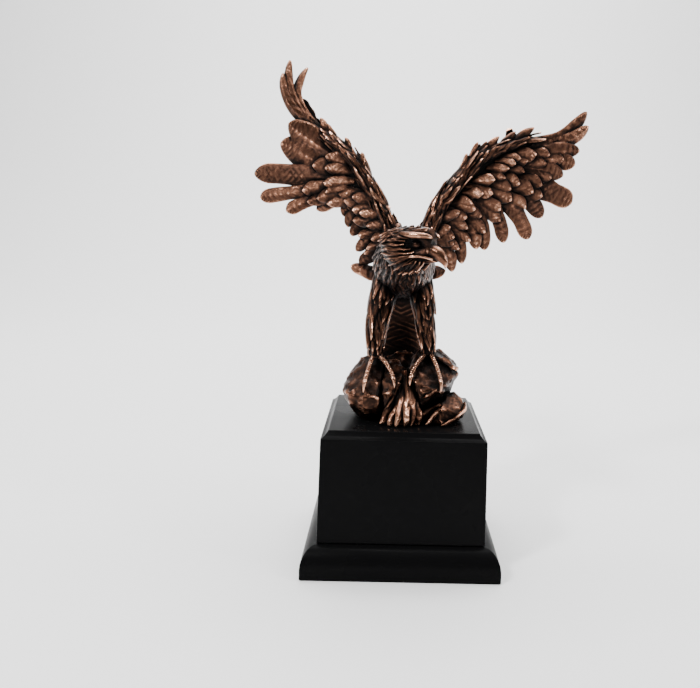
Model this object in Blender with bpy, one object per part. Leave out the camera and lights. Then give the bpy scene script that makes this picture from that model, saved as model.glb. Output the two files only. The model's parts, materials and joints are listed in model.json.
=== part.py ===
"""Eagle with raised wings on a rock, cast in one piece, on a moulded black plinth.

Metres, +Z up. The origin is the middle of the plinth's underside, and the eagle's breast faces -Y.
"Left" and "right" are those of a viewer in front of it.
"""
import math
import random

import bmesh
import bpy
import numpy as np
from mathutils import Matrix, Vector

# Plinth
block_width = 0.0924
block_top_height = 0.0818
block_draft = 0.0011
step_inset = 0.0039
step_drop = 0.0039
foot_overhang = 0.0086
foot_height = 0.0178
foot_edge_height = 0.0050
foot_arc_steps = 6
joint_gap = 0.0003

# Figure: every number of its pose is in grid units, figure_grid of them to its height above the plinth
figure_height = 0.2100
figure_grid = 209.6
unit = figure_height / figure_grid

# Wing build, in grid units
flight_thickness = 1.5
covert_thickness = 1.4
wing_web_thickness = 2.6
arm_sides = 6
arm_locks = 5
feather_seed = 7

# Half width along a feather: (share of its length, share of its half width)
feather_outline = ((0.0, 0.7), (0.62, 1.0), (0.88, 0.84), (0.98, 0.4))
covert_outline = ((0.0, 0.7), (0.55, 1.0), (0.87, 0.72))
lock_outline = ((0.0, 0.7), (0.5, 1.0))


# Small helpers

def clear_scene():
    for thing in list(bpy.data.objects):
        bpy.data.objects.remove(thing, do_unlink=True)


def smooth_curve(points, count):
    """count points on a smooth curve through the given ones; a point may carry radii after its place."""
    given = np.array(points, float)
    padded = np.vstack([2 * given[0] - given[1], given, 2 * given[-1] - given[-2]])
    made = []
    for place in np.linspace(0, len(given) - 1, count):
        first = min(int(place), len(given) - 2)
        share = place - first
        a, b, c, d = padded[first : first + 4]
        made.append(
            0.5 * (2 * b + (c - a) * share + (2 * a - 5 * b + 4 * c - d) * share**2
                   + (3 * b - a - 3 * c + d) * share**3)
        )
    return np.array(made)


def unit_vector(vector):
    vector = np.asarray(vector, float)
    return vector / np.linalg.norm(vector)


class Shells:
    """Closed shells in grid units, which one union makes into the casting."""

    def __init__(self):
        self.made = []

    def add(self, points, faces):
        self.made.append((np.array(points, float), faces))

    def add_rings(self, rings, tip=None):
        """Rings of equal length joined in order, capped at the start, and at the end or drawn to a tip."""
        sides = len(rings[0])
        points = [point for ring in rings for point in ring]
        faces = [tuple(reversed(range(sides)))]
        for ring in range(len(rings) - 1):
            for side in range(sides):
                near, far = ring * sides + side, ring * sides + (side + 1) % sides
                faces.append((near, far, far + sides, near + sides))
        last = (len(rings) - 1) * sides
        if tip is None:
            faces.append(tuple(range(last, last + sides)))
        else:
            points.append(tip)
            for side in range(sides):
                faces.append((last + side, last + (side + 1) % sides, len(points) - 1))
        self.add(points, faces)


def add_tube(shells, stations, sides, count, up=(0, 0, 1), tip=None):
    """A round or oval limb. Each station is x, y, z, half width and half height."""
    path = smooth_curve(stations, count)
    rings = []
    for number, station in enumerate(path):
        ahead = path[min(number + 1, count - 1)][:3] - path[max(number - 1, 0)][:3]
        along = unit_vector(ahead)
        side = unit_vector(np.cross(along, up))
        rise = np.cross(side, along)
        rings.append([
            station[:3]
            + side * station[3] * math.cos(turn)
            - rise * station[4] * math.sin(turn)
            for turn in np.linspace(0, 2 * math.pi, sides, endpoint=False)
        ])
    shells.add_rings(rings, tip)


def add_feather(shells, root, tip, width, face, thickness, bow=0.0, sag=0.0, roll=0.0,
                outline=feather_outline, two_sided=True):
    """A vane with a raised shaft. face points out of its front, bow bends it that way, sag bends it
    sideways, and roll turns it about its own length, in degrees."""
    root, tip = np.array(root, float), np.array(tip, float)
    length = np.linalg.norm(tip - root)
    along = (tip - root) / length
    face = unit_vector(face - along * np.dot(face, along))
    side = np.cross(along, face)
    middle = (root + tip) / 2 + face * bow + side * sag
    turn = math.radians(roll)
    rings = []
    for share, breadth in outline:
        place = root * (1 - share) ** 2 + middle * 2 * share * (1 - share) + tip * share**2
        heading = unit_vector((middle - root) * (1 - share) + (tip - middle) * share)
        out = unit_vector(face - heading * np.dot(face, heading))
        across = np.cross(heading, out)
        out, across = (out * math.cos(turn) + across * math.sin(turn),
                       across * math.cos(turn) - out * math.sin(turn))
        half = breadth * width / 2
        depth = thickness * (1 - 0.45 * share)
        edges = (place - across * half - out * 0.16 * half, place + across * half - out * 0.16 * half)
        shaft, keel = place + out * depth, place - out * (depth * 0.6 + half * 0.08)
        rings.append([edges[0], keel, edges[1], shaft] if two_sided else [*edges, shaft])
    shells.add_rings(rings, tip)


# Wings

def wing_depth(x):
    """The wings sweep back as they spread."""
    spread = abs(x)
    return 5 + 0.58 * spread - 0.0023 * spread**2


def wing_face(x):
    """Normal of the wing's front at x."""
    slope = 0.58 - 0.0046 * abs(x)
    return unit_vector((math.copysign(slope, x), -1, 0))


def on_wing(x, z, forward=0.0):
    return np.array((x, wing_depth(x), z)) + wing_face(x) * forward


# Each flight feather: root x and z, tip x and z, width, bow to the front, sag to the back edge, tip forward
left_flight = (
    (-52, 163, -78, 203, 7.5, 0, 14, 2),
    (-55, 162, -76, 209.6, 7, 0, 9, -1),
    (-56, 164, -66, 205, 7, 0, 17, -5),
    (-47, 154, -73.5, 184, 15, 1, 4, 0),
    (-43, 149, -74.5, 167, 17, 2, 0, 2),
    (-40, 143, -81, 158.5, 17, 2, 0, 0),
    (-38, 136, -97, 142, 14, 1, 1, 1),
    (-37, 133, -93.5, 125.5, 10, 1, -3, 0),
    (-34, 132, -76, 119, 10, 2, -1, 1),
    (-31, 131, -57.5, 121, 10, 1, 0, 0),
    (-27, 130, -41, 116, 9.5, 1, 0, 0),
    (-23, 124, -36.5, 110.5, 8.5, 1, 0, 1),
    (-20, 117, -34, 105, 8, 1, 0, 0),
    (-17, 108, -31.5, 95.5, 8, 1, 0, 1),
    (-14, 98, -28.5, 87, 8.5, 1, 0, 0),
)
right_flight = (
    (62, 163, 111.2, 185, 11, 2, 17, 0),
    (62, 160, 108, 169, 12, 2, 11, -1),
    (61, 157, 104, 154, 14, 2, 5, 1),
    (60, 154, 96, 145, 12, 2, 0, 0),
    (58, 151, 104, 130, 15, 2, 2, 1),
    (56, 148, 84.5, 120.5, 12.5, 2, 0, 0),
    (51, 144, 72.5, 116, 11, 1, 0, 0),
    (46, 139, 76.5, 106.5, 12, 1, 3, 1),
    (40, 132, 60.5, 103.5, 10.5, 1, 0, 0),
    (35, 126, 47, 99, 8.5, 1, 0, 0),
    (29, 121, 40, 99.5, 9, 2, 0, 1),
    (23, 113, 32, 90, 8, 1, 0, 0),
    (18, 103, 27, 84, 8, 1, 0, 0),
)
# Each arm: x, z and radius from the shoulder to past the wrist
left_arm = ((-8, 100, 7.5), (-11.5, 114, 6.4), (-17, 126, 6.2), (-26, 140.5, 6), (-36.5, 153, 5.4), (-48, 163, 4.6),
            (-57, 172, 3.4), (-66, 185, 2))
right_arm = ((9, 100, 7.5), (13, 114, 6.6), (18.5, 127, 6.4), (27.5, 141, 6.2), (39.5, 153.5, 5.6), (55, 162, 4.6),
             (71, 166.5, 3.4), (88, 170, 2))
arm_spread = 0.72

# Covert rows: share of the flight feather that the row covers, count, forward, greatest width
front_rows = ((0.46, 9, 2.6, 12), (0.14, 9, 4.4, 10.5))
back_rows = ((0.25, 7, -3.0, 12),)
covert_length = 13


def arm_at(arm, share):
    """Place and radius on the arm, at a share of the way from its shoulder to the wrist."""
    return smooth_curve(arm, 41)[round(share * 32)]


def flight_at(flight, share):
    """The flight feather that would grow at a share of the way from the wing's tip to the body."""
    place = share * (len(flight) - 1)
    first = min(int(place), len(flight) - 2)
    near, far = np.array(flight[first], float), np.array(flight[first + 1], float)
    return near + (far - near) * (place - first)


def add_wing(shells, flight, arm):
    outward = math.copysign(1, arm[-1][0])
    add_tube(
        shells,
        [(x, wing_depth(x), z, radius * arm_spread, radius) for x, z, radius in arm],
        arm_sides, 8, up=(0, -1, 0),
    )
    add_web(shells, flight, arm)
    for root_x, root_z, tip_x, tip_z, width, bow, sag, ahead in flight:
        add_feather(
            shells, on_wing(root_x, root_z), on_wing(tip_x, tip_z, ahead), width,
            wing_face(tip_x), flight_thickness, bow, sag * outward, roll=14 * outward,
        )
    for row in front_rows + back_rows:
        add_coverts(shells, flight, arm, *row)
    add_arm_locks(shells, arm, outward)


def add_web(shells, flight, arm):
    """The flesh of the wing that the feathers grow from, a slab from the arm to mid feather."""
    rings = []
    for share in np.linspace(0.1, 1, 6):
        root_x, root_z, tip_x, tip_z = flight_at(flight, share)[:4]
        reach = 0.62 - 0.3 * share
        from_x, from_z = arm_at(arm, 1 - share)[:2]
        start = on_wing(from_x, from_z)
        end = on_wing(root_x + (tip_x - root_x) * reach, root_z + (tip_z - root_z) * reach)
        half = wing_face(root_x) * wing_web_thickness / 2
        rings.append([start - half, end - half * 0.6, end + half * 0.6, start + half])
    if arm[-1][0] > 0:
        rings = [list(reversed(ring)) for ring in rings]
    shells.add_rings(rings)


def add_coverts(shells, flight, arm, reach, count, forward, widest):
    """A row of short rounded feathers that shingles over the flight feathers, or behind them."""
    chance = random.Random(feather_seed + round(100 * reach))
    for number in range(count):
        share = 0.1 + 0.9 * (number + 0.5 + chance.uniform(-0.15, 0.15)) / count
        root_x, root_z, tip_x, tip_z, width = flight_at(flight, share)[:5]
        grown = reach + chance.uniform(-0.05, 0.05)
        end_x, end_z = root_x + (tip_x - root_x) * grown, root_z + (tip_z - root_z) * grown
        from_x, from_z = arm_at(arm, 1 - share)[:2]
        length = math.hypot(end_x - from_x, end_z - from_z)
        back = min(covert_length / length, 1)
        from_x, from_z = end_x + (from_x - end_x) * back, end_z + (from_z - end_z) * back
        add_feather(
            shells, on_wing(from_x, from_z, forward * 0.5), on_wing(end_x, end_z, forward),
            min(max(width, 7), widest), wing_face(end_x) * math.copysign(1, forward), covert_thickness,
            bow=0.8, roll=12 * math.copysign(1, end_x), outline=covert_outline, two_sided=False,
        )


def add_arm_locks(shells, arm, outward):
    """Pointed locks that lie along the arm, the upper ones breaking its outline."""
    for number in range(arm_locks):
        share = 0.06 + 0.86 * number / (arm_locks - 1)
        seat = arm_at(arm, share)
        ahead = arm_at(arm, min(share + 0.2, 1))
        heading = unit_vector((ahead[0] - seat[0], ahead[1] - seat[1]))
        over = np.array((-heading[1], heading[0])) * outward
        for rise, depth, reach in ((0.8, 0.4, 13), (-0.1, 1.0, 12)):
            start = seat[:2] + over * seat[2] * (rise - 0.35)
            end = seat[:2] + heading * reach + over * seat[2] * (rise + 0.12)
            thick = seat[2] * arm_spread
            add_feather(
                shells, on_wing(*start, depth * thick * 0.5), on_wing(*end, depth * thick), 6,
                wing_face(end[0]) * depth + np.array((0, 0, rise)), 1.3, bow=0.6, outline=lock_outline,
                two_sided=False,
            )


# Body, head and limbs

torso = (
    (-3, 31, 71, 8, 6),
    (-3, 22, 79, 13.5, 12),
    (-2.7, 10, 87, 16.5, 17.5),
    (-2.3, -3, 91, 17, 19),
    (-1.5, -14, 94.5, 14.5, 17),
    (0, -23, 98.5, 12, 13),
    (1.8, -32, 102, 10.2, 10.2),
)
left_leg = (
    (-12, 4, 84, 7.5, 9.5),
    (-14.2, -1, 72, 7, 8.5),
    (-16.6, -6, 58, 5.8, 6.4),
    (-17.3, -10, 46, 4.2, 4.6),
    (-17.4, -12, 36, 2.8, 3),
)
right_leg = (
    (6.5, 4, 84, 7.5, 9.5),
    (8.6, -1, 72, 6.4, 8.5),
    (10.4, -6, 59, 4.8, 6.2),
    (12.4, -10, 47, 3.4, 4.4),
    (12.9, -12, 38, 2.6, 3),
)
# Toes: knuckle points from the foot to the claw's tip
toes = (
    ((-18, -12, 37), (-21.3, -19.5, 31.5), (-23.2, -25, 25), (-23.6, -26.8, 19)),
    ((-16.5, -13, 36.5), (-10.5, -20, 33), (-7, -25.5, 27.5), (-6.2, -27, 21.5)),
    ((-17.5, -9, 36), (-18, 0, 36), (-18, 5, 34), (-18, 7, 30)),
    ((12.5, -13, 38), (6.5, -19.5, 33.5), (3, -25, 28.5), (2.6, -26.5, 23)),
    ((13.5, -12, 39), (17.5, -19.5, 33), (19.8, -25.5, 26), (19.9, -27, 20)),
    ((13, -9, 38), (13.5, 0, 38), (13.5, 5, 36), (13.5, 7, 32)),
)
toe_radius = 1.7
tail_feathers = 5

head_centre = np.array((1.6, -34, 102.6))
head_forward = unit_vector((0.80, -0.59, -0.09))
head_side = unit_vector(np.cross(head_forward, (0, 0, 1)))
head_up = np.cross(head_side, head_forward)


def on_head(forward, side, up):
    """A place in the head's own frame: towards the beak, towards the bird's right, and up."""
    return head_centre + head_forward * forward + head_side * side + head_up * up


def head_stations(stations):
    return [(*on_head(*station[:3]), *station[3:]) for station in stations]


def add_head(shells):
    skull = ((-13, 0, -2.5, 6, 6), (-8, 0, -0.5, 9.6, 9), (0, 0, 0, 9.4, 9), (7, 0, -0.2, 7.4, 7.4),
             (11, 0, -0.8, 5, 5.4))
    add_tube(shells, head_stations(skull), 10, 7, up=head_up)
    upper_beak = ((8, 0, -0.4, 4.6, 5), (15, 0, 0.2, 3.9, 4.4), (20, 0, -0.8, 3, 3.4),
                  (23.6, 0, -3.2, 2.1, 2.4), (24.9, 0, -6, 1.2, 1.4))
    add_tube(shells, head_stations(upper_beak), 6, 6, up=head_up, tip=on_head(24.6, 0, -9))
    lower_beak = ((6, 0, -4.8, 3.6, 2), (14, 0, -5, 2.7, 1.5), (19.5, 0, -5, 1.4, 1))
    add_tube(shells, head_stations(lower_beak), 5, 3, up=head_up, tip=on_head(21.3, 0, -4.9))
    for side in (1, -1):
        brow = ((-4, 6.8 * side, 5.6, 1.6, 1.2), (3, 7.8 * side, 5, 2, 1.4), (9, 6.6 * side, 3.6, 1.9, 1.3),
                (13.5, 3.6 * side, 3.2, 1.1, 0.9))
        add_tube(shells, head_stations(brow), 5, 5, up=head_up)
        eye = ((4, 6.6 * side, 1.4, 1.4, 1.4), (6.3, 7.6 * side, 1.2, 2.1, 2.1), (8.6, 6.6 * side, 1, 1.4, 1.4))
        add_tube(shells, head_stations(eye), 6, 3, up=head_up)


def add_tufts(shells, stations, rows, around, length, width, lift, down=1):
    """Pointed locks in staggered rows round a limb, which lie along it with their tips lifted."""
    chance = random.Random(feather_seed)
    path = smooth_curve(stations, 33)
    for row in range(rows):
        place = round(32 * (0.05 + 0.8 * (row + 0.5) / rows))
        seat = path[place]
        after = path[min(place + 6, 32)] if down > 0 else path[max(place - 6, 0)]
        for number in range(around):
            turn = 2 * math.pi * (number + 0.5 * (row % 2) + chance.uniform(-0.2, 0.2)) / around
            along = unit_vector(after[:3] - seat[:3])
            side = unit_vector(np.cross(along, (0.0, 1.0, 0.15)))
            rise = np.cross(side, along)
            out = side * math.cos(turn) + rise * math.sin(turn)
            start = seat[:3] + side * math.cos(turn) * seat[3] + rise * math.sin(turn) * seat[4]
            end = after[:3] + side * math.cos(turn) * after[3] + rise * math.sin(turn) * after[4]
            heading = unit_vector(end - start + side * chance.uniform(-0.6, 0.6))
            add_feather(
                shells, start - out * 1.8 - heading * length * 0.25, start + out * lift + heading * length * 0.75,
                width, out, 1.4, bow=0.8, outline=lock_outline, two_sided=False,
            )


def add_tail(shells):
    """A fan of feathers that hangs from the rump to behind the rock."""
    for number in range(tail_feathers):
        spread = number / (tail_feathers - 1) * 2 - 1
        add_feather(
            shells, (-3 + 6 * spread, 25, 77), (-3 + 21 * spread, 38 - 5 * abs(spread), 17 + 8 * abs(spread)),
            15, (0.15 * spread, 1, 0.35), 2, bow=3, roll=9 if number % 2 else -9,
        )
    for root, tip in (((-12, 17, 79), (-34.8, 20, 86)), ((6, 17, 81), (23.5, 20, 85.5))):
        add_feather(shells, root, tip, 8.5, (0, -1, 0.3), 1.6, bow=1)


def add_eagle(shells):
    add_tube(shells, torso, 10, 9)
    add_head(shells)
    for leg in (left_leg, right_leg):
        add_tube(shells, leg, 7, 6, up=(0, -1, 0))
    for knuckles in toes:
        *joints, claw = knuckles
        stations = [(*joint, toe_radius * (1 - 0.12 * number), toe_radius) for number, joint in enumerate(joints)]
        add_tube(shells, stations, 4, 4, up=(0, 0, 1), tip=claw)
    add_tufts(shells, torso[1:], rows=4, around=8, length=13, width=8.5, lift=1.4, down=-1)
    for leg in (left_leg, right_leg):
        add_tufts(shells, leg[:4], rows=3, around=6, length=15, width=5.5, lift=0.8)
    add_tail(shells)
    add_wing(shells, left_flight, left_arm)
    add_wing(shells, right_flight, right_arm)


# Rock: each boulder is the hull of its corners, in grid units above the plinth
boulders = (
    ((-37, -12, 16), (-33, -22, 15), (-24, -28, 16), (-13, -29, 17), (-5, -27, 20), (0, -20, 24), (-32, -4, 27),
     (-26, -1, 34), (-19, -3, 37), (-8, -4, 36), (-1, -6, 31), (-33, -19, 0), (-25, -24, 0), (-10, -26, 0),
     (-34, -4, 2), (-30, 10, 0), (-26, 9, 25), (-8, 12, 30), (2, 10, 0)),
    ((4, -25, 22), (11, -29, 15), (19, -27, 19), (23, -22, 20), (33, -8, 27), (31, -6, 32), (26, -4, 36),
     (19, -3, 40), (10, -4, 41), (4, -8, 34), (12, -26, 9), (26, -9, 12), (3, -20, 4), (20, 8, 34), (28, 6, 18),
     (6, 10, 34), (4, 8, 4)),
    ((22, -15, 15), (33, -11, 15), (37, -12, 9), (35, -18, 1), (30, -24, 0), (14, -31, 0), (4, -31, 0),
     (6, -28, 6), (20, -26, 8), (30, 4, 12), (32, 6, 0), (2, 0, 0)),
    ((-3, -22, 25), (4, -20, 24), (-12, -31, 0), (-3, -34, 0), (8, -32, 0), (-7, -30, 7), (2, -30, 9),
     (0, 0, 28), (0, 4, 0)),
    ((-28, 6, 0), (-24, 27, 0), (-2, 37, 0), (20, 28, 0), (28, 6, 0), (-24, 10, 24), (-17, 25, 19), (0, 34, 21),
     (16, 24, 23), (-2, 12, 37), (20, 0, 30)),
)
rock_grain = 0.9
flat_angle = math.radians(0.5)


def add_boulder(shells, corners, seed):
    """A hull with its faces split once and roughened, and its underside kept flat on the plinth."""
    mesh = bmesh.new()
    for corner in corners:
        mesh.verts.new(corner)
    made = bmesh.ops.convex_hull(mesh, input=mesh.verts)
    loose = [element for element in made["geom_interior"] + made["geom_unused"]
             if isinstance(element, bmesh.types.BMVert)]
    bmesh.ops.delete(mesh, geom=loose, context="VERTS")
    bmesh.ops.subdivide_edges(mesh, edges=mesh.edges, cuts=1, use_grid_fill=True)
    bmesh.ops.triangulate(mesh, faces=mesh.faces)
    chance = random.Random(seed)
    for point in mesh.verts:
        if point.co.z > 0.5:
            point.co += Vector([chance.uniform(-rock_grain, rock_grain) for _ in range(3)])
    mesh.verts.index_update()
    shells.add([tuple(point.co) for point in mesh.verts],
               [tuple(corner.index for corner in face.verts) for face in mesh.faces])
    mesh.free()


# Objects

def add_material(name, colour, metallic, roughness):
    material = bpy.data.materials.new(name)
    material.use_nodes = True
    shader = material.node_tree.nodes["Principled BSDF"]
    shader.inputs["Base Color"].default_value = (*colour, 1)
    shader.inputs["Metallic"].default_value = metallic
    shader.inputs["Roughness"].default_value = roughness
    material.diffuse_color = (*colour, 1)
    return material


def mesh_object(name, points, faces, scale, lift, collection):
    mesh = bpy.data.meshes.new(name)
    mesh.from_pydata([tuple(point) for point in np.array(points) * scale], [], faces)
    mesh.update()
    shape = bmesh.new()
    shape.from_mesh(mesh)
    bmesh.ops.recalc_face_normals(shape, faces=shape.faces)
    bmesh.ops.triangulate(shape, faces=shape.faces)
    shape.to_mesh(mesh)
    shape.free()
    made = bpy.data.objects.new(name, mesh)
    made.location.z = lift
    collection.objects.link(made)
    return made


def cast_in_one(name, shells, lift, material):
    """The union of all shells as one solid."""
    scene_collection = bpy.context.scene.collection
    parts = bpy.data.collections.new("pattern_parts")
    scene_collection.children.link(parts)
    first, *others = shells.made
    casting = mesh_object(name, *first, unit, lift, scene_collection)
    for number, (points, faces) in enumerate(others):
        mesh_object(f"pattern_{number:03d}", points, faces, unit, lift, parts)
    union = casting.modifiers.new("cast in one", "BOOLEAN")
    union.operation = "UNION"
    union.operand_type = "COLLECTION"
    union.collection = parts
    union.solver = "EXACT"
    bpy.context.view_layer.update()
    graph = bpy.context.evaluated_depsgraph_get()
    merged = bpy.data.meshes.new_from_object(casting.evaluated_get(graph))
    casting.modifiers.clear()
    casting.data = merged
    for part in list(parts.objects):
        bpy.data.objects.remove(part, do_unlink=True)
    bpy.data.collections.remove(parts)
    tidy_shell(merged)
    merged.materials.clear()
    merged.materials.append(material)
    return casting


def tidy_shell(mesh):
    """Merges flat neighbours, and drops the sealed pockets that overlapping feathers enclose."""
    shape = bmesh.new()
    shape.from_mesh(mesh)
    bmesh.ops.dissolve_limit(shape, angle_limit=flat_angle, verts=shape.verts, edges=shape.edges)
    unseen = set(shape.faces)
    found = []
    while unseen:
        shell = [unseen.pop()]
        for face in shell:
            for edge in face.edges:
                for other in edge.link_faces:
                    if other in unseen:
                        unseen.remove(other)
                        shell.append(other)
        found.append(shell)
    found.sort(key=len)
    for shell in found[:-1]:
        bmesh.ops.delete(shape, geom=shell, context="FACES")
    shape.to_mesh(mesh)
    shape.free()


def add_moulded_block(name, profile, material):
    """A square block turned up from its profile: half width and height, from the bottom up."""
    shape = bmesh.new()
    rings = []
    for half, height in profile:
        rings.append([shape.verts.new((half * x, half * y, height)) for x, y in ((-1, -1), (1, -1), (1, 1), (-1, 1))])
    for lower, upper in zip(rings, rings[1:]):
        for side in range(4):
            after = (side + 1) % 4
            shape.faces.new((lower[side], lower[after], upper[after], upper[side]))
    shape.faces.new(list(reversed(rings[0])))
    shape.faces.new(rings[-1])
    bmesh.ops.recalc_face_normals(shape, faces=shape.faces)
    mesh = bpy.data.meshes.new(name)
    shape.to_mesh(mesh)
    shape.free()
    mesh.materials.append(material)
    made = bpy.data.objects.new(name, mesh)
    bpy.context.scene.collection.objects.link(made)
    return made


def block_profile():
    half = block_width / 2
    base, top = foot_height + joint_gap, block_top_height
    shoulder = top - step_drop
    cove = [
        (half - step_inset + step_inset * 0.72 * (1 - math.cos(turn)), shoulder + step_drop * 0.62 * (1 - math.sin(turn)))
        for turn in np.linspace(math.pi / 6, math.pi / 2, 4)
    ]
    return [(half + block_draft, base), (half, shoulder - step_drop * 0.12), (half - step_inset * 0.1, shoulder),
            *reversed(cove), (half - step_inset, top - step_drop * 0.1), (half - step_inset * 1.1, top)]


def foot_profile():
    inner = block_width / 2 + block_draft
    arc = [
        (inner + foot_overhang * math.cos(turn),
         foot_edge_height + (foot_height - foot_edge_height) * math.sin(turn))
        for turn in np.linspace(0, math.pi / 2, foot_arc_steps + 1)
    ]
    return [(inner + foot_overhang - joint_gap, 0), (inner + foot_overhang, joint_gap), *arc]


def main():
    clear_scene()
    copper = add_material("antique_copper", (0.20, 0.085, 0.045), 1.0, 0.36)
    black = add_material("black_lacquer", (0.012, 0.012, 0.013), 0.0, 0.38)
    shells = Shells()
    for number, corners in enumerate(boulders):
        add_boulder(shells, corners, seed=number + 1)
    add_eagle(shells)
    cast_in_one("eagle_on_rock", shells, block_top_height + joint_gap, copper)
    add_moulded_block("plinth_block", block_profile(), black)
    add_moulded_block("plinth_foot", foot_profile(), black)


main()
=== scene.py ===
import json
import math
import random
import time

import bmesh
import bpy
import numpy as np
from mathutils import Matrix, Vector, noise
from mathutils.bvhtree import BVHTree

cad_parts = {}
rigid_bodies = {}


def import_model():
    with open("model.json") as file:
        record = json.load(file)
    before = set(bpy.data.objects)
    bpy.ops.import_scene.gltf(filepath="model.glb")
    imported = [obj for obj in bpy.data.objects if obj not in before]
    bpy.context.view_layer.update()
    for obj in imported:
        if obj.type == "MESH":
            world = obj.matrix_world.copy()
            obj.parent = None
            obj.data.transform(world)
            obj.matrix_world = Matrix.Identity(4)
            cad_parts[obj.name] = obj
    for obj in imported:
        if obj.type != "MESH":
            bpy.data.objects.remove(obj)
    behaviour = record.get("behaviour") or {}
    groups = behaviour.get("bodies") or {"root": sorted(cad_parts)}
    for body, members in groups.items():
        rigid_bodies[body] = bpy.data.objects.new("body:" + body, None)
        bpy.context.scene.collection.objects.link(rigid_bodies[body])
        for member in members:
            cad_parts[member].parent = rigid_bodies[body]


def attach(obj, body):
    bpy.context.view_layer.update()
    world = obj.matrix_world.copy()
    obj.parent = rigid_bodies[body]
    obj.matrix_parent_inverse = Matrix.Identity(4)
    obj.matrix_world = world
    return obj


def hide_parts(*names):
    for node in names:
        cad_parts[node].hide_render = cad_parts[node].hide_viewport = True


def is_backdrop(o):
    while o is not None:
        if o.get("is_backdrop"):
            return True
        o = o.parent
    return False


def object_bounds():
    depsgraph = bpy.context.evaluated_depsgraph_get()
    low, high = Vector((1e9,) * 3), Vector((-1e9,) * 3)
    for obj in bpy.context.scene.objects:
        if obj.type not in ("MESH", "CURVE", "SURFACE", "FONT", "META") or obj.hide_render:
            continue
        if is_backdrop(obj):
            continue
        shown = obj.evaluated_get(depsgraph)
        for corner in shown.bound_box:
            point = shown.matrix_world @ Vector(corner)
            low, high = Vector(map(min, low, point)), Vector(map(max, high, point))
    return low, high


startTime = time.time()
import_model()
cadLow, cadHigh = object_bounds()


def say(text):
    print(f"[{time.time() - startTime:5.1f} s] {text}", flush=True)


# The figure is drawn in its own grid, 209.6 to its height above the plinth
figure = {
    "height": 0.2100,
    "grid": 209.6,
    "foot": 0.0821,          # height of the rock's underside
    "seed": 7,
    "mostTriangles": 196000,
    "creaseAngle": 38,       # degrees, past which an edge stays sharp
    "cavityReach": 0.011,    # how far a ray looks for a neighbour
    "cavityRays": 12,
}
unit = figure["height"] / figure["grid"]
noise.seed_set(figure["seed"])       # unset, noise vectors follow the clock and differ each run

# What a shell is, in its second UV map: rock, feather, down, lock, horn or eye
kinds = {"rock": 0.1, "vane": 0.3, "down": 0.44, "lock": 0.5, "horn": 0.7, "eye": 0.9}


# Grid units to one of the UV map, across and along a shell; uvRock is a grid unit's share on rock and toes
uvWide, uvLong, uvRock = 40, 60, 0.05


def normed(vector):
    vector = np.asarray(vector, float)
    return vector / np.maximum(np.linalg.norm(vector, axis=-1, keepdims=True), 1e-9)


def smoothCurve(points, count):
    given = np.array(points, float)
    padded = np.vstack([2 * given[0] - given[1], given, 2 * given[-1] - given[-2]])
    place = np.linspace(0, len(given) - 1, count)
    first = np.minimum(place.astype(int), len(given) - 2)
    t = (place - first)[:, None]
    a, b, c, d = (padded[first + step] for step in range(4))
    return 0.5 * (2 * b + (c - a) * t + (2 * a - 5 * b + 4 * c - d) * t**2 + (3 * b - a - 3 * c + d) * t**3)


def fade(low, high, value):
    t = np.clip((value - low) / (high - low), 0, 1)
    return t * t * (3 - 2 * t)


def readPoints(mesh):
    points = np.empty(len(mesh.vertices) * 3, np.float32)
    mesh.vertices.foreach_get("co", points)
    return points.reshape(-1, 3)


def readEdges(mesh):
    edges = np.empty(len(mesh.edges) * 2, np.int32)
    mesh.edges.foreach_get("vertices", edges)
    return edges.reshape(-1, 2)


def addAttribute(mesh, name, values):
    # One number or one direction for each point
    values = np.asarray(values, np.float32)
    kind, field = ("FLOAT", "value") if values.ndim == 1 else ("FLOAT_VECTOR", "vector")
    mesh.attributes.new(name, kind, "POINT").data.foreach_set(field, values.ravel())


def evaluatedMesh(holder):
    bpy.context.view_layer.update()
    return bpy.data.meshes.new_from_object(holder.evaluated_get(bpy.context.evaluated_depsgraph_get()))


def tubeFaces(rings, sides):
    # Point numbers by ring and side, the same one side on, and the quads between the rings
    index = np.arange(rings * sides).reshape(rings, sides)
    around = np.roll(index, -1, axis=1)
    quads = np.stack([index[:-1], around[:-1], around[1:], index[1:]], axis=-1).reshape(-1, 4)
    return index, around, [tuple(quad) for quad in quads.tolist()]


def largestShell(mesh):
    # Keeps the outer surface and drops pockets sealed inside it
    count = len(mesh.vertices)
    edges = readEdges(mesh)
    label = np.arange(count)
    while True:
        low = np.minimum(label[edges[:, 0]], label[edges[:, 1]])
        before = label.copy()
        np.minimum.at(label, edges[:, 0], low)
        np.minimum.at(label, edges[:, 1], low)
        label = label[label]
        if (label == before).all():
            break
    keep = np.bincount(label).argmax()
    if (label == keep).all():
        return
    shape = bmesh.new()
    shape.from_mesh(mesh)
    shape.verts.ensure_lookup_table()
    pockets = [shape.verts[int(number)] for number in np.nonzero(label != keep)[0]]
    bmesh.ops.delete(shape, geom=pockets, context="VERTS")
    shape.to_mesh(mesh)
    shape.free()


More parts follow.
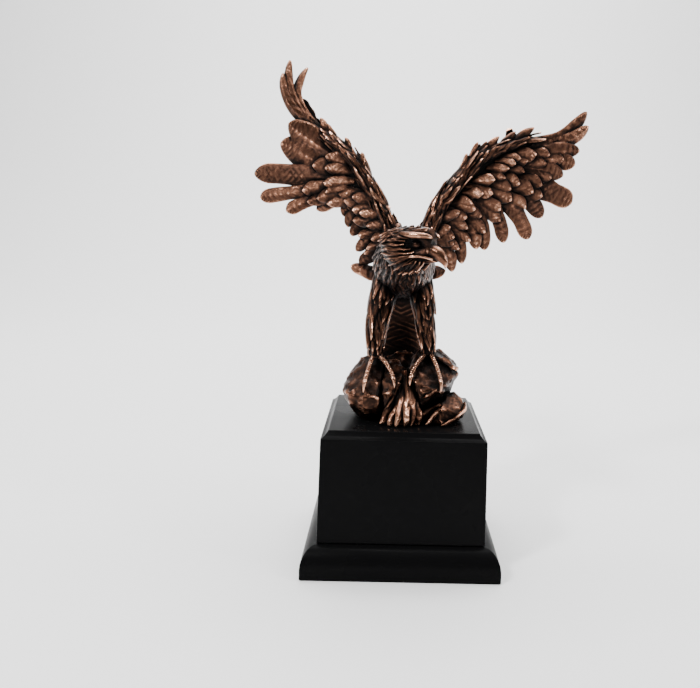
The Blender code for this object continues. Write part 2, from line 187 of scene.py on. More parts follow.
class Casting:
    # Collects closed shells, then fuses them into one mesh

    def __init__(self):
        self.shells = []
        self.chance = random.Random(figure["seed"])

    def addGrid(self, grid, along, across, kind, tip=None):
        # grid is rings x sides x 3; along and across are the UV of each of its points
        rings, sides = grid.shape[:2]
        points = grid.reshape(-1, 3)
        index, around, faces = tubeFaces(rings, sides)
        uv = np.stack([across, along], -1).reshape(-1, 2)
        faces.append(tuple(reversed(index[0].tolist())))
        if tip is None:
            faces.append(tuple(index[-1].tolist()))
        else:
            points = np.vstack([points, tip])
            uv = np.vstack([uv, uv[-sides:].mean(axis=0)])
            last = len(points) - 1
            faces += [(int(index[-1, side]), int(around[-1, side]), last) for side in range(sides)]
        self.addShell(points, faces, uv, kind)

    def addShell(self, points, faces, uv, kind):
        # A shell that came out inside out is turned round
        points = np.asarray(points, float)
        fans = np.array([(face[0], *pair) for face in faces for pair in zip(face[1:], face[2:])])
        a, b, c = (points[fans[:, corner]] - points[0] for corner in range(3))
        if np.einsum("ij,ij->", a, np.cross(b, c)) < 0:
            faces = [face[::-1] for face in faces]
        self.shells.append((points, faces, np.asarray(uv, float), kinds[kind], self.chance.random()))

    def toMesh(self, shell, name):
        points, faces, uv, kind, tone = shell
        mesh = bpy.data.meshes.new(name)
        mesh.from_pydata((points * unit + (0, 0, figure["foot"])).tolist(), [], faces)
        corners = np.empty(len(mesh.loops), np.int32)
        mesh.loops.foreach_get("vertex_index", corners)
        mesh.uv_layers.new(name="UVMap").data.foreach_set("uv", uv[corners].astype(np.float32).ravel())
        tag = np.tile((kind, tone), (len(corners), 1))
        mesh.uv_layers.new(name="tag").data.foreach_set("uv", tag.astype(np.float32).ravel())
        return mesh

    def fuse(self, name):
        # The first shell takes in all the others at once
        scene = bpy.context.scene
        others = bpy.data.collections.new("patterns")
        scene.collection.children.link(others)
        body = bpy.data.objects.new(name, self.toMesh(self.shells[0], name))
        scene.collection.objects.link(body)
        for number, shell in enumerate(self.shells[1:]):
            label = f"pattern{number}"
            others.objects.link(bpy.data.objects.new(label, self.toMesh(shell, label)))
        union = body.modifiers.new("fuse", "BOOLEAN")
        union.operation, union.operand_type = "UNION", "COLLECTION"
        union.collection, union.solver = others, "MANIFOLD"
        fused = evaluatedMesh(body)
        body.modifiers.clear()
        body.data = fused
        for pattern in list(others.objects):
            bpy.data.objects.remove(pattern)
        bpy.data.collections.remove(others)
        largestShell(body.data)
        body.data.calc_loop_triangles()
        count = len(body.data.loop_triangles)
        say(f"fused {len(self.shells)} shells: {count} triangles")
        if count > figure["mostTriangles"]:
            thin = body.modifiers.new("thin", "DECIMATE")
            thin.ratio = figure["mostTriangles"] / count
            body.data = evaluatedMesh(body)
            body.modifiers.clear()
        return body


casting = Casting()
chance = casting.chance


def tubeGrid(stations, sides, count, up=(0, 0, 1)):
    # Rings round a limb, from stations of x, y, z, half width and half height
    path = smoothCurve(stations, count)
    heading = normed(np.gradient(path[:, :3], axis=0))
    side = normed(np.cross(heading, up))
    rise = np.cross(side, heading)
    turn = np.linspace(0, 2 * math.pi, sides, endpoint=False)
    wide = path[:, 3, None] * np.cos(turn)
    high = path[:, 4, None] * np.sin(turn)
    grid = path[:, None, :3] + side[:, None] * wide[..., None] - rise[:, None] * high[..., None]
    return grid, heading


def addTube(stations, sides, count, up=(0, 0, 1), kind="lock", tip=None):
    grid, heading = tubeGrid(stations, sides, count, up)
    steps = np.linalg.norm(np.diff(grid.mean(axis=1), axis=0), axis=1)
    reach = np.concatenate([[0], np.cumsum(steps)])
    around = np.abs(np.arange(sides) - sides / 2) / sides
    along, across = np.broadcast_arrays((reach / uvLong)[:, None], around[None, :])
    casting.addGrid(grid, along, across, kind, tip=tip)


# Feathers, and locks of small feathers that Geometry Nodes lay over a limb

tipCrowding, lastRow = 1.35, 0.997     # a feather's rows crowd to its tip, and the last stops short of it


lockPattern = {
    "variants": 4, "rows": 9, "columns": 4, "thickness": 0.16, "shaft": 0.06, "shaftWidth": 0.12,
    "blunt": 2.2, "neck": 0.55, "point": 1.5, "wander": 0.5, "heave": 0.07, "waves": 2.2, "backing": 1.0,
    "ragged": 0.25,
}


def newTree(name, sockets):
    tree = bpy.data.node_groups.new(name, "GeometryNodeTree")
    tree.interface.new_socket("Geometry", in_out="OUTPUT", socket_type="NodeSocketGeometry")
    tree.interface.new_socket("Geometry", in_out="INPUT", socket_type="NodeSocketGeometry")
    for label, kind in {**sockets, "Material": "Material"}.items():
        tree.interface.new_socket(label, in_out="INPUT", socket_type=f"NodeSocket{kind}")
    return tree, tree.nodes.new("NodeGroupInput")


def treeNode(tree, kind, place, settings=(), **sources):
    # Sources are sockets to link from, or plain values
    made = tree.nodes.new(f"GeometryNode{kind}" if hasattr(bpy.types, f"GeometryNode{kind}") else kind)
    made.location = place
    for name, value in dict(settings).items():
        setattr(made, name, value)
    for name, source in sources.items():
        socket = made.inputs[name.replace("_", " ")]
        if isinstance(source, bpy.types.NodeSocket):
            tree.links.new(source, socket)
        else:
            socket.default_value = source
    return made


def addMath(tree, operation, place, *values, clamp=False):
    # Values are sockets to link from, or plain numbers
    made = tree.nodes.new("ShaderNodeMath")
    made.operation, made.location, made.use_clamp = operation, place, clamp
    for socket, value in zip(made.inputs, values):
        if hasattr(value, "links"):
            tree.links.new(value, socket)
        else:
            socket.default_value = value
    return made.outputs[0]


def endTree(tree, given, geometry):
    real = treeNode(tree, "RealizeInstances", (1100, 0), Geometry=geometry)
    dressed = treeNode(tree, "SetMaterial", (1300, 0), Geometry=real.outputs["Geometry"],
                       Material=given["Material"])
    result = tree.nodes.new("NodeGroupOutput")
    result.location = (1500, 0)
    tree.links.new(dressed.outputs["Geometry"], result.inputs["Geometry"])
    return tree


def makeLockTree():
    # Locks picked at random stand on a skin, lie along its flow and swing and grow by chance
    tree, group = newTree("coatOfLocks", {
        "Patterns": "Collection", "Spacing": "Float", "Length": "Float", "Width": "Float", "Height": "Float",
        "Variation": "Float", "Turn": "Float", "Seed": "Int"})
    given = group.outputs
    spread = treeNode(tree, "DistributePointsOnFaces", (0, 0), {"distribute_method": "POISSON"},
                      Mesh=given["Geometry"], Distance_Min=given["Spacing"], Density_Max=5.0,
                      Seed=given["Seed"])
    flow = treeNode(tree, "InputNamedAttribute", (0, -300), {"data_type": "FLOAT_VECTOR"}, Name="flow")
    upright = treeNode(tree, "FunctionNodeAlignRotationToVector", (200, 0), {"axis": "Z"},
                       Vector=spread.outputs["Normal"])
    along = treeNode(tree, "FunctionNodeAlignRotationToVector", (400, 0), {"axis": "X", "pivot_axis": "Z"},
                     Rotation=upright.outputs["Rotation"], Vector=flow.outputs["Attribute"])
    least = addMath(tree, "MULTIPLY", (0, -500), given["Turn"], -1)
    swing = randomBetween(tree, (200, -500), least, given["Turn"], 1)
    heading = treeNode(tree, "ShaderNodeCombineXYZ", (400, -500), Z=swing)
    angle = treeNode(tree, "FunctionNodeEulerToRotation", (500, -500), Euler=heading.outputs[0])
    turned = treeNode(tree, "FunctionNodeRotateRotation", (600, 0), {"rotation_space": "LOCAL"},
                      Rotation=along.outputs["Rotation"], Rotate_By=angle.outputs["Rotation"])
    small = addMath(tree, "SUBTRACT", (0, -700), 1, given["Variation"])
    large = addMath(tree, "ADD", (0, -850), 1, given["Variation"])
    grown = randomBetween(tree, (200, -700), small, large, 2)
    size = treeNode(tree, "ShaderNodeCombineXYZ", (200, -900), X=given["Length"], Y=given["Width"],
                    Z=given["Height"])
    scale = treeNode(tree, "ShaderNodeVectorMath", (400, -800), {"operation": "SCALE"},
                     Vector=size.outputs[0], Scale=grown)
    shapes = treeNode(tree, "CollectionInfo", (400, -1100), Collection=given["Patterns"],
                      Separate_Children=True)
    pick = treeNode(tree, "FunctionNodeRandomValue", (400, -1300), {"data_type": "INT"}, Seed=3)
    pick.inputs[4].default_value, pick.inputs[5].default_value = 0, lockPattern["variants"] - 1
    laid = treeNode(tree, "InstanceOnPoints", (800, 0), Points=spread.outputs["Points"],
                    Instance=shapes.outputs["Instances"], Pick_Instance=True, Instance_Index=pick.outputs[2],
                    Rotation=turned.outputs["Rotation"], Scale=scale.outputs["Vector"])
    return endTree(tree, given, laid.outputs["Instances"])


def randomBetween(tree, place, low, high, seed):
    # The node's sockets 2 and 3 are the limits of its number, which leaves by socket 1
    made = treeNode(tree, "FunctionNodeRandomValue", place, {"data_type": "FLOAT"}, Seed=seed)
    tree.links.new(low, made.inputs[2])
    tree.links.new(high, made.inputs[3])
    return made.outputs[1]


def runTree(tree, mesh, values):
    # Gives a plain mesh's points and faces after the tree has worked on it
    holder = bpy.data.objects.new("holder", mesh)
    bpy.context.scene.collection.objects.link(holder)
    modifier = holder.modifiers.new(tree.name, "NODES")
    modifier.node_group = tree
    values = dict(values, Material=bronzeMaterial)
    for socket in tree.interface.items_tree:
        if socket.in_out == "INPUT" and socket.name in values:
            modifier[socket.identifier] = values[socket.name]
    made = evaluatedMesh(holder)
    points = readPoints(made).astype(float)
    faces = [tuple(face.vertices) for face in made.polygons]
    bpy.data.objects.remove(holder)
    bpy.data.meshes.remove(made)
    return points, faces


def makeLockPatterns():
    # Four wavy locks, one unit long and wide, which point along X and bury their roots
    patterns = bpy.data.collections.new("lockPatterns")
    made = []
    for number in range(lockPattern["variants"]):
        addFeather((-0.25, 0, -0.35), (0.75, 0, 0.22), 1.0, (0, 0, 1), lockPattern, bow=0.5)
        made.append(casting.shells.pop()[:3])
        mesh = bpy.data.meshes.new(f"lock{number}")
        mesh.from_pydata(made[-1][0].tolist(), [], made[-1][1])
        patterns.objects.link(bpy.data.objects.new(f"lock{number}", mesh))
    points, faces, uv = made[0]
    return patterns, faces, (uv - (0.5, 0)) * (uvWide, uvLong)


def addCoat(grid, heading, coat, rings):
    # Lays locks over a limb's rings, tips along its heading
    grid, heading = grid[rings], heading[rings]
    skin = bpy.data.meshes.new("skin")
    skin.from_pydata(grid.reshape(-1, 3).tolist(), [], tubeFaces(*grid.shape[:2])[2])
    outward = np.cross(grid[0, 1] - grid[0, 0], grid[1, 0] - grid[0, 0])
    if np.dot(outward, grid[0, 0] - grid[0].mean(axis=0)) < 0:
        skin.flip_normals()
    flow = np.broadcast_to(heading[:, None] * coat.get("way", 1), grid.shape) + coat.get("droop", (0, 0, 0))
    addAttribute(skin, "flow", flow)
    points, faces = runTree(lockTree, skin, {
        "Patterns": lockPatterns, "Spacing": coat["spacing"], "Length": coat["length"],
        "Width": coat["width"], "Height": coat["height"], "Variation": coat.get("variation", 0.25),
        "Turn": coat["turn"], "Seed": coat["seed"]})
    size = len(lockUv)
    uv = lockUv * (coat["width"] / uvWide, coat["length"] / uvLong) + (0.5, 0)
    for start in range(0, len(points), size):
        casting.addShell(points[start:start + size], lockFaces, uv, coat.get("kind", "lock"))
    say(f"coat of {len(points) // size} locks")


def addFeather(root, tip, width, face, feather, middle=None, bow=0.0, sag=0.0, roll=0.0, cup=0.0,
               kind="vane"):
    # A vane with a raised shaft and shallow clefts. feather holds its build
    root, tip, face = (np.asarray(value, float) for value in (root, tip, face))
    length = np.linalg.norm(tip - root)
    along = (tip - root) / length
    face = normed(face - along * np.dot(face, along))
    side = np.cross(along, face)
    halfway = (root + tip) / 2 if middle is None else 2 * np.asarray(middle, float) - (root + tip) / 2
    bend = halfway + face * bow + side * sag
    t = (1 - (1 - np.linspace(0, 1, feather["rows"])) ** tipCrowding) * lastRow
    s = t[:, None]
    centre = root * (1 - s) ** 2 + bend * 2 * s * (1 - s) + tip * s**2
    heading = normed((bend - root) * (1 - s) + (tip - bend) * s)
    out = normed(face - heading * (heading @ face)[:, None])
    lateral = np.cross(heading, out)
    turn = math.radians(roll) * (0.6 + 0.4 * s)
    out, lateral = (out * np.cos(turn) + lateral * np.sin(turn),
                    lateral * np.cos(turn) - out * np.sin(turn))
    seed = chance.random() * 40
    rounding = min(0.9, feather["blunt"] * width / length)
    swell = feather["neck"] + (1 - feather["neck"]) * fade(0, 0.45, t)
    close = np.sqrt(1 - np.clip((t - 1 + rounding) / rounding, 0, 1) ** feather.get("point", 2))
    wave = np.array([noise.noise_vector(Vector((seed, value * feather.get("waves", 3), 0))) for value in t])
    half = width / 2 * swell * close * (1 + feather.get("ragged", 0.08) * wave[:, 1])
    shift = wave[:, 0] * feather.get("wander", 0.0) * width * t
    lift = wave[:, 2] * feather.get("heave", 0.0) * t
    u = np.sin(np.linspace(-math.pi / 2, math.pi / 2, feather["columns"] + 1))
    place = u[None, :] * half[:, None]
    fromRoot = t[:, None] * length
    leaning = fromRoot - np.abs(place) * feather.get("lean", 2.2) + seed
    groove = np.sin(leaning * 2 * math.pi / feather.get("pitch", 4.5))
    edge = np.maximum(0, 1 - np.abs(u) ** 2.6)[None, :] ** 0.6
    flesh = feather["thickness"] * (1 - 0.3 * s) * edge
    shaft = feather["shaft"] * np.exp(-((place / feather["shaftWidth"]) ** 2)) * (1 - 0.75 * s)
    cleft = feather.get("cleft", 0.0) * groove * edge * (1 - np.exp(-((place / 1.2) ** 2)))
    front = flesh + shaft + cleft
    backing = -(flesh + shaft) * feather.get("backing", 0.6) - cleft
    curve = lift[:, None] - cup * half[:, None] * u[None, :] ** 2
    surface = centre[:, None] + lateral[:, None] * (place + shift[:, None])[..., None]
    top = surface + out[:, None] * (front + curve)[..., None]
    low = surface + out[:, None] * (backing + curve)[..., None]
    grid = np.concatenate([low, top[:, -2:0:-1]], axis=1)
    across = np.concatenate([place, place[:, -2:0:-1]], axis=1) / uvWide + 0.5
    end = tip + lateral[-1] * shift[-1] + out[-1] * lift[-1]
    casting.addGrid(grid, np.broadcast_to(fromRoot / uvLong, across.shape), across, kind, tip=end)


# Wings

wing = {
    "webThickness": 2.4,
    "armSpread": 0.8,
    "flightRoll": 10,
    "covertRoll": 8,
}
flightFeather = {
    "rows": 36, "columns": 10, "thickness": 1.1, "shaft": 0.75, "shaftWidth": 0.75, "blunt": 0.95,
    "neck": 0.5, "cleft": 0.26, "pitch": 4.4, "lean": 3.0, "wander": 0.05, "ragged": 0.22, "heave": 1.2,
}
longFeather = dict(flightFeather, blunt=1.9, cleft=0.3, lean=6, pitch=7, neck=1.0, point=1.7)
covertFeather = {
    "rows": 15, "columns": 8, "thickness": 0.95, "shaft": 0.45, "shaftWidth": 0.6, "blunt": 0.8, "neck": 0.5,
    "cleft": 0.16, "pitch": 3.4, "lean": 2.0, "ragged": 0.3, "wander": 0.12, "heave": 0.9,
}
armCoat = {"spacing": 2.7, "length": 13, "width": 4.4, "height": 3.4, "turn": 0.32, "variation": 0.4}

# Each flight feather: root x and z, a point halfway, tip, width, and how far the tip stands forward
leftFlight = (
    (-54, 163, -74.2, 183, -79, 201.5, 7.0, 1),
    (-54, 164, -72.0, 184.5, -75.5, 209.6, 6.6, -0.5),
    (-53, 165, -70.4, 186, -64.5, 205, 6.8, -2),
    (-44, 151, -60, 161.5, -74.5, 171.5, 17, 3),
    (-40, 142, -60, 151, -80.5, 159.5, 18, 1),
    (-39, 138, -70, 140.3, -97, 140.8, 13.0, 1),
    (-38, 134, -70, 130, -93.5, 126, 9, 0),
    (-37, 133, -60, 125.5, -76.5, 118.3, 8.5, 0),
    (-35, 133, -47, 125.5, -57.5, 119.8, 9, 0),
    (-28, 132, -36, 124, -39.5, 116, 10, 0),
    (-24, 124, -33, 117, -37.4, 109.8, 8.8, 0),
    (-19, 118, -29, 112, -34, 104.5, 8.6, 0),
    (-16, 108, -25, 101.5, -31, 95.5, 8, 1),
    (-13, 98, -23, 92.5, -29, 87.5, 8, 0),
)
rightFlight = (
    (62, 162, 91.5, 168.2, 109.6, 186.0, 9.6, 0),
    (62, 159.5, 92, 165, 111.6, 177, 9.6, 1),
    (64, 156.5, 90, 160.5, 106.2, 161.5, 11, 2),
    (62, 153.5, 88, 155, 103.6, 152.8, 11, 2),
    (60, 151, 82, 149, 96.4, 145.6, 11, 2),
    (57, 149, 84, 138, 104, 129.5, 15, 0),
    (55, 147, 73, 132.5, 84.3, 119.2, 12, 0),
    (48, 142, 65, 124.5, 76, 105.4, 11.5, 1),
    (42, 137, 54.5, 120.5, 60.5, 102.8, 10, 0),
    (36, 131, 45, 115.5, 47.8, 98, 8.2, 0),
    (30, 124, 38.5, 112, 42, 98.5, 9, 1),
    (24, 117, 30.9, 104, 33.2, 89.6, 8, 0),
    (18, 106, 24.5, 96, 27.5, 84.5, 8, 0),
)
# Each arm: x, z and radius from the shoulder to past the wrist
leftArm = ((-8, 99, 6.5), (-10.5, 108, 5.0), (-14.5, 116, 4.4), (-19.6, 127, 4.3), (-25.8, 136.8, 4.3),
           (-32, 146.8, 4.2), (-39.8, 155, 3.9), (-49, 162.4, 3.3), (-60, 170.5, 2.3))
rightArm = ((9, 99, 6.5), (12.5, 111, 5.4), (17.3, 122.2, 4.8), (22.6, 131.3, 4.6), (28.5, 138.5, 4.6),
            (34.1, 145, 4.6), (39.9, 152, 4.4), (49.2, 157.2, 4.0), (60, 162, 3.4), (71.6, 165.8, 2.6),
            (81, 168.4, 2.0))
# Each row of coverts: share of the flight feather covered, from which share of the wing, count, forward,
# greatest width, length
leftRows = ((0.62, 0.50, 6, 1.8, 12.5, 23), (0.42, 0.30, 7, 2.8, 11.5, 20), (0.22, 0.20, 9, 4.0, 9.5, 16),
            (0.52, 0.0, 10, -2.2, 12.0, 20), (0.28, 0.0, 11, -3.6, 11.0, 17), (0.08, 0.0, 11, -4.6, 9.0, 13))
rightRows = ((0.66, 0.20, 8, 2.0, 11.5, 21), (0.43, 0.16, 9, 3.4, 10.0, 18), (0.22, 0.14, 9, 4.6, 8.5, 15),
             (0.05, 0.20, 9, 5.4, 7.0, 12), (0.52, 0.0, 10, -2.2, 12.0, 20), (0.28, 0.0, 11, -3.6, 11.0, 17),
             (0.08, 0.0, 11, -4.6, 9.0, 13))
# Spikes that stand out of the upper outline of each arm: share of the arm, length and rise
leftSpikes = ((0.62, 11, 4.5), (0.76, 11, 4.0), (0.90, 12, 3.8), (0.97, 12, 4.6))
rightSpikes = ((0.50, 13, 4.2), (0.575, 16, 5.4), (0.64, 13, 4.6), (0.71, 15, 5.2), (0.80, 15, 4.6),
               (0.88, 18, 5.0))


def wingDepth(x):
    return 5 + 0.58 * abs(x) - 0.0023 * x * x


def wingFace(x):
    return normed((math.copysign(0.58 - 0.0046 * abs(x), x), -1, 0))


def onWing(x, z, forward=0.0):
    return np.array((x, wingDepth(x), z)) + wingFace(x) * forward


def armAt(arm, share):
    return smoothCurve(arm, 101)[min(round(share * 92), 100)]


def flightAt(flight, share):
    place = share * (len(flight) - 1)
    first = min(int(place), len(flight) - 2)
    near, far = np.array(flight[first], float), np.array(flight[first + 1], float)
    return near + (far - near) * (place - first)


def alongFeather(feather, share):
    # A point on the curve through root, halfway point and tip
    root, half, tip = feather[0:2], feather[2:4], feather[4:6]
    bend = 2 * half - (root + tip) / 2
    return root * (1 - share) ** 2 + bend * 2 * share * (1 - share) + tip * share**2


def addWing(flight, arm, rows, spikes, seed):
    outward = math.copysign(1, arm[-1][0])
    stations = [(x, wingDepth(x), z, radius * wing["armSpread"], radius) for x, z, radius in arm]
    addTube(stations, 14, 40, up=(0, -1, 0))
    grid, heading = tubeGrid(stations, 14, 40, up=(0, -1, 0))
    addCoat(grid, heading, dict(armCoat, seed=seed), slice(2, 36))
    addWeb(flight, arm, outward)
    for number, (rootX, rootZ, halfX, halfZ, tipX, tipZ, width, ahead) in enumerate(flight):
        build = longFeather if number < 3 else flightFeather
        addFeather(onWing(rootX, rootZ), onWing(tipX, tipZ, ahead), width, wingFace(tipX), build,
                   middle=onWing(halfX, halfZ, ahead * 0.6 + 1), roll=wing["flightRoll"] * outward, cup=0.1)
    for row in rows:
        addCovertRow(flight, arm, outward, *row)
    for share, length, rise in spikes:
        seat, ahead = armAt(arm, share), armAt(arm, min(share + 0.1, 1.08))
        way = normed((ahead[0] - seat[0], ahead[1] - seat[1]))
        over = np.array((-way[1], way[0])) * outward
        for side in (-1, 1):
            start = seat[:2] - over * seat[2] * 0.1
            lift = seat[2] * 0.6 + rise * (0.8 + 0.2 * side)
            end = seat[:2] + way * length * chance.uniform(0.85, 1) + over * lift
            face = wingFace(end[0]) * side + (0, 0, 0.3)
            addFeather(onWing(*start, side * 1.5), onWing(*end, side * 0.8), 6.0, face, spikeLock, bow=1.2,
                       sag=-1.5 * outward, kind="lock")


spikeLock = {
    "rows": 14, "columns": 6, "thickness": 1.1, "shaft": 0.4, "shaftWidth": 0.7, "blunt": 2.0, "neck": 0.7,
    "point": 1.5, "wander": 0.12, "heave": 0.4, "ragged": 0.25, "backing": 0.9,
}


def addWeb(flight, arm, outward):
    # The flesh between the arm and the middle of the feathers
    rings = []
    for share in np.linspace(0.18, 1, 24):
        feather = flightAt(flight, share)
        start = onWing(*armAt(arm, 1 - share)[:2])
        end = onWing(*alongFeather(feather, 0.66 - 0.24 * share))
        half = wingFace(feather[0]) * wing["webThickness"] / 2
        ring = [start - half, end - half * 0.6, end + half * 0.6, start + half]
        rings.append(ring if outward < 0 else ring[::-1])
    along, across = np.meshgrid(np.linspace(0, 1, 24), (0.2, 0.8, 0.8, 0.2), indexing="ij")
    casting.addGrid(np.array(rings), along, across, "lock")


def addCovertRow(flight, arm, outward, reach, first, count, forward, widest, length):
    side = math.copysign(1, forward)
    for number in range(count):
        share = first + (1 - first) * (number + 0.5 + chance.uniform(-0.22, 0.22)) / count
        feather = flightAt(flight, share)
        end = alongFeather(feather, min(reach + chance.uniform(-0.05, 0.05), 0.95))
        seat = armAt(arm, 1 - share)[:2]
        way = alongFeather(feather, max(reach - 0.25, 0)) * 0.6 + seat * 0.4
        back = normed(way - end)
        start = end + back * length * chance.uniform(0.9, 1.12)
        tip = onWing(*end, forward + side * chance.uniform(0.4, 1.9))
        width = min(max(feather[6] * 0.95, 7), widest) * chance.uniform(0.8, 1.15)
        roll = wing["covertRoll"] * outward * side + chance.uniform(-12, 12)
        addFeather(onWing(*start, forward * 0.35), tip, width, wingFace(end[0]) * side, covertFeather,
                   bow=1.4, roll=roll, cup=0.26)


# Body

body = {
    "torso": ((-3, 31, 71, 8, 6), (-3, 22, 79, 13.5, 12), (-2.7, 10, 87, 16.5, 17.5), (-2.3, -3, 91, 17, 19),
              (-1.5, -14, 94.5, 14.5, 17), (0, -23, 98.5, 12, 13), (1.8, -32, 102, 10.2, 10.2)),
    "leftLeg": ((-12, 4, 84, 7.5, 9.5), (-14.2, -1, 72, 7, 8.5), (-16.6, -6, 58, 5.8, 6.4),
                (-17.3, -10, 46, 4.2, 4.6), (-17.4, -12, 36, 2.8, 3)),
    "rightLeg": ((6.5, 4, 84, 7.5, 9.5), (8.6, -1, 72, 6.4, 8.5), (10.4, -6, 59, 4.8, 6.2),
                 (12.4, -10, 47, 3.4, 4.4), (12.9, -12, 38, 2.6, 3)),
    "tailFeathers": 7,
    "vent": ((-3, 19, 76), (-3, 32.5, 20)),       # the banded down that lies in front of the tail
}
bodyCoats = {
    "leg": {"spacing": 3.6, "length": 14, "width": 4.6, "height": 3.6, "turn": 0.3, "seed": 3,
            "variation": 0.35},
    "shin": {"spacing": 2.8, "length": 9, "width": 3.4, "height": 3.0, "turn": 0.25, "seed": 4,
             "variation": 0.3},
    "rump": {"spacing": 5.0, "length": 15, "width": 8.0, "height": 5.0, "turn": 0.25, "seed": 5, "way": -1},
    "breast": {"spacing": 3.1, "length": 8, "width": 3.6, "height": 2.8, "turn": 0.4, "seed": 6, "way": -1,
               "droop": (0, 0, -0.5), "kind": "down"},
}
tailFeather = dict(flightFeather, rows=40, columns=8, thickness=1.5, shaft=0.6, cleft=0.28, pitch=3.0,
                   lean=1.1, blunt=0.5)
ventFeather = dict(tailFeather, rows=44, columns=10, thickness=1.3, shaft=0.1, cleft=0.5, pitch=3.6,
                   lean=0.5, neck=0.8)


def addBody():
    addTube(body["torso"], 28, 36)
    grid, heading = tubeGrid(body["torso"], 28, 36)
    addCoat(grid, heading, bodyCoats["rump"], slice(0, 14))
    addCoat(grid, heading, bodyCoats["breast"], slice(12, 35))
    for leg in (body["leftLeg"], body["rightLeg"]):
        addTube(leg, 16, 24, up=(0, -1, 0))
        grid, heading = tubeGrid(leg, 16, 24, up=(0, -1, 0))
        addCoat(grid, heading, bodyCoats["leg"], slice(2, 16))
        addCoat(grid, heading, bodyCoats["shin"], slice(14, 21))
    count = body["tailFeathers"]
    for number in range(count):
        spread = number / (count - 1) * 2 - 1
        end = (-3 + 17 * spread, 38 - 5 * abs(spread), 17 + 8 * abs(spread))
        addFeather((-3 + 6 * spread, 25, 77), end, 11, (0.15 * spread, 1, 0.35), tailFeather, bow=3,
                   roll=8 if number % 2 else -8)
    addFeather(body["vent"][0], body["vent"][1], 27, (0, -1, 0.2), ventFeather, bow=-1, kind="down")
    addFeather((-12, 17, 79), (-34.8, 20, 86), 8.5, (0, -1, 0.3), flightFeather, bow=1)
    addFeather((6, 17, 81), (23.5, 20, 85.5), 8.5, (0, -1, 0.3), flightFeather, bow=1)


# Head

head = {
    "centre": (1.6, -34, 102.6),
    "forward": (0.80, -0.59, -0.09),
    # The skull's stations: forward, top, bottom, half width
    "skull": ((-17, 4, -8, 6), (-13, 7.2, -12, 8.8), (-7, 8.6, -14, 9.8), (-1, 9.6, -13, 9.4),
              (4, 10.2, -11, 8.3), (8.5, 10.3, -9, 6.8), (11.5, 9.2, -7.6, 5.3), (13.2, 5, -6, 3.8)),
    "socket": (5.8, 0.6, 5.6, 2.9, 2.6),      # forward, up, reach, height and depth of the eye's hollow
    "crownLocks": 11,
}
# Long strands that comb back from the cheek and brow: root forward and up, tip forward and up, width
cheekStrands = (
    (2, 3.4, -13, 5.2, 2.2), (0.5, 2.0, -15.5, 2.2, 2.2), (0, 0.4, -16.5, -0.8, 2.4),
    (1, -2.0, -16.4, -3.6, 2.5), (2, -3.6, -15.7, -6.8, 2.6), (3, -4.8, -14.0, -9.6, 2.5),
    (3.6, -5.6, -11.8, -12.8, 2.5), (4.4, -6.2, -9.0, -15.4, 2.4), (5.2, -6.8, -5.6, -16.6, 2.3),
    (6.4, -7.2, -2.2, -16.9, 2.2), (8.0, -7.4, 1.6, -15.6, 2.0), (9.6, -7.2, 5.2, -13.4, 1.8),
    (5.5, -3.2, -9.5, -5.0, 2.0), (6, -4.4, -7.5, -9.4, 2.0), (7, -5.2, -3.5, -12.0, 1.9),
    (4, -1.6, -10.5, -1.6, 2.0),
)
squareness = 2.3               # of the skull's section: 2 is an ellipse
# Each tube of the head: stations, sides, rings, kind and, where it ends in a point, the point
beakTubes = (
    # the base of the beak
    (((8, 0, -1.7, 4.6, 3.9), (11.2, 0, -1.6, 4.7, 4.1), (12.6, 0, -1.7, 4.4, 3.9),
      (13.3, 0, -1.8, 3.8, 3.4)),
     24, 12, "horn"),
    # its hooked upper half
    (((9, 0, -1.7, 4.2, 3.6), (13, 0, -1.7, 4.0, 3.7), (16.2, 0, -2.5, 3.6, 3.8), (18.7, 0, -3.9, 2.9, 3.2),
      (20.5, 0, -5.5, 2.0, 2.4), (21.7, 0, -7.2, 1.2, 1.6), (22.2, 0, -8.7, 0.55, 0.75)),
     24, 34, "horn", (22.2, 0, -9.9)),
    # its lower half
    (((2, 0, -8.4, 4.4, 2.2), (8, 0, -7.6, 3.5, 1.8), (12, 0, -6.9, 2.7, 1.4), (15.4, 0, -6.6, 1.7, 0.9)),
     14, 14, "horn", (17.6, 0, -6.8)),
)
sideTubes = (
    # brow
    (((-6.5, 7.4, 5.6, 0.8, 0.5), (-2, 7.9, 5.6, 1.7, 1.4), (3, 7.8, 5.7, 2.2, 1.9),
      (7.5, 6.7, 6.0, 2.1, 1.9), (11, 5.0, 6.1, 1.7, 1.6), (13.4, 3.6, 5.8, 0.9, 0.9)),
     16, 26, "horn", (14.6, 2.8, 5.2)),
    # edge of the mouth
    (((0.5, 8.3, -6.4, 0.5, 0.5), (4.5, 7.5, -5.6, 1.2, 1.0), (9, 5.7, -5.0, 1.1, 0.9),
      (13, 4.2, -5.3, 0.9, 0.8), (16, 3.4, -5.8, 0.6, 0.6)),
     12, 18, "horn"),
    # eye, set near black by its kind as painted shade of the socket
    (((4.0, 5.6, 1.0, 0.8, 0.8), (4.9, 5.9, 1.0, 1.7, 1.7), (6.0, 5.9, 0.95, 2.0, 2.0),
      (7.1, 5.6, 0.9, 1.7, 1.7), (8.0, 5.2, 0.9, 0.8, 0.8)),
     16, 12, "eye"),
    # nostril, set near black by its kind as painted shade of the hole
    (((13.3, 3.5, -0.2, 0.2, 0.3), (14.3, 3.55, -0.6, 0.45, 0.55), (15.2, 3.3, -1.1, 0.2, 0.3)),
     8, 7, "eye"),
)
headCentre = np.array(head["centre"], float)
headForward = normed(head["forward"])
headSide = normed(np.cross(headForward, (0, 0, 1)))
headUp = np.cross(headSide, headForward)
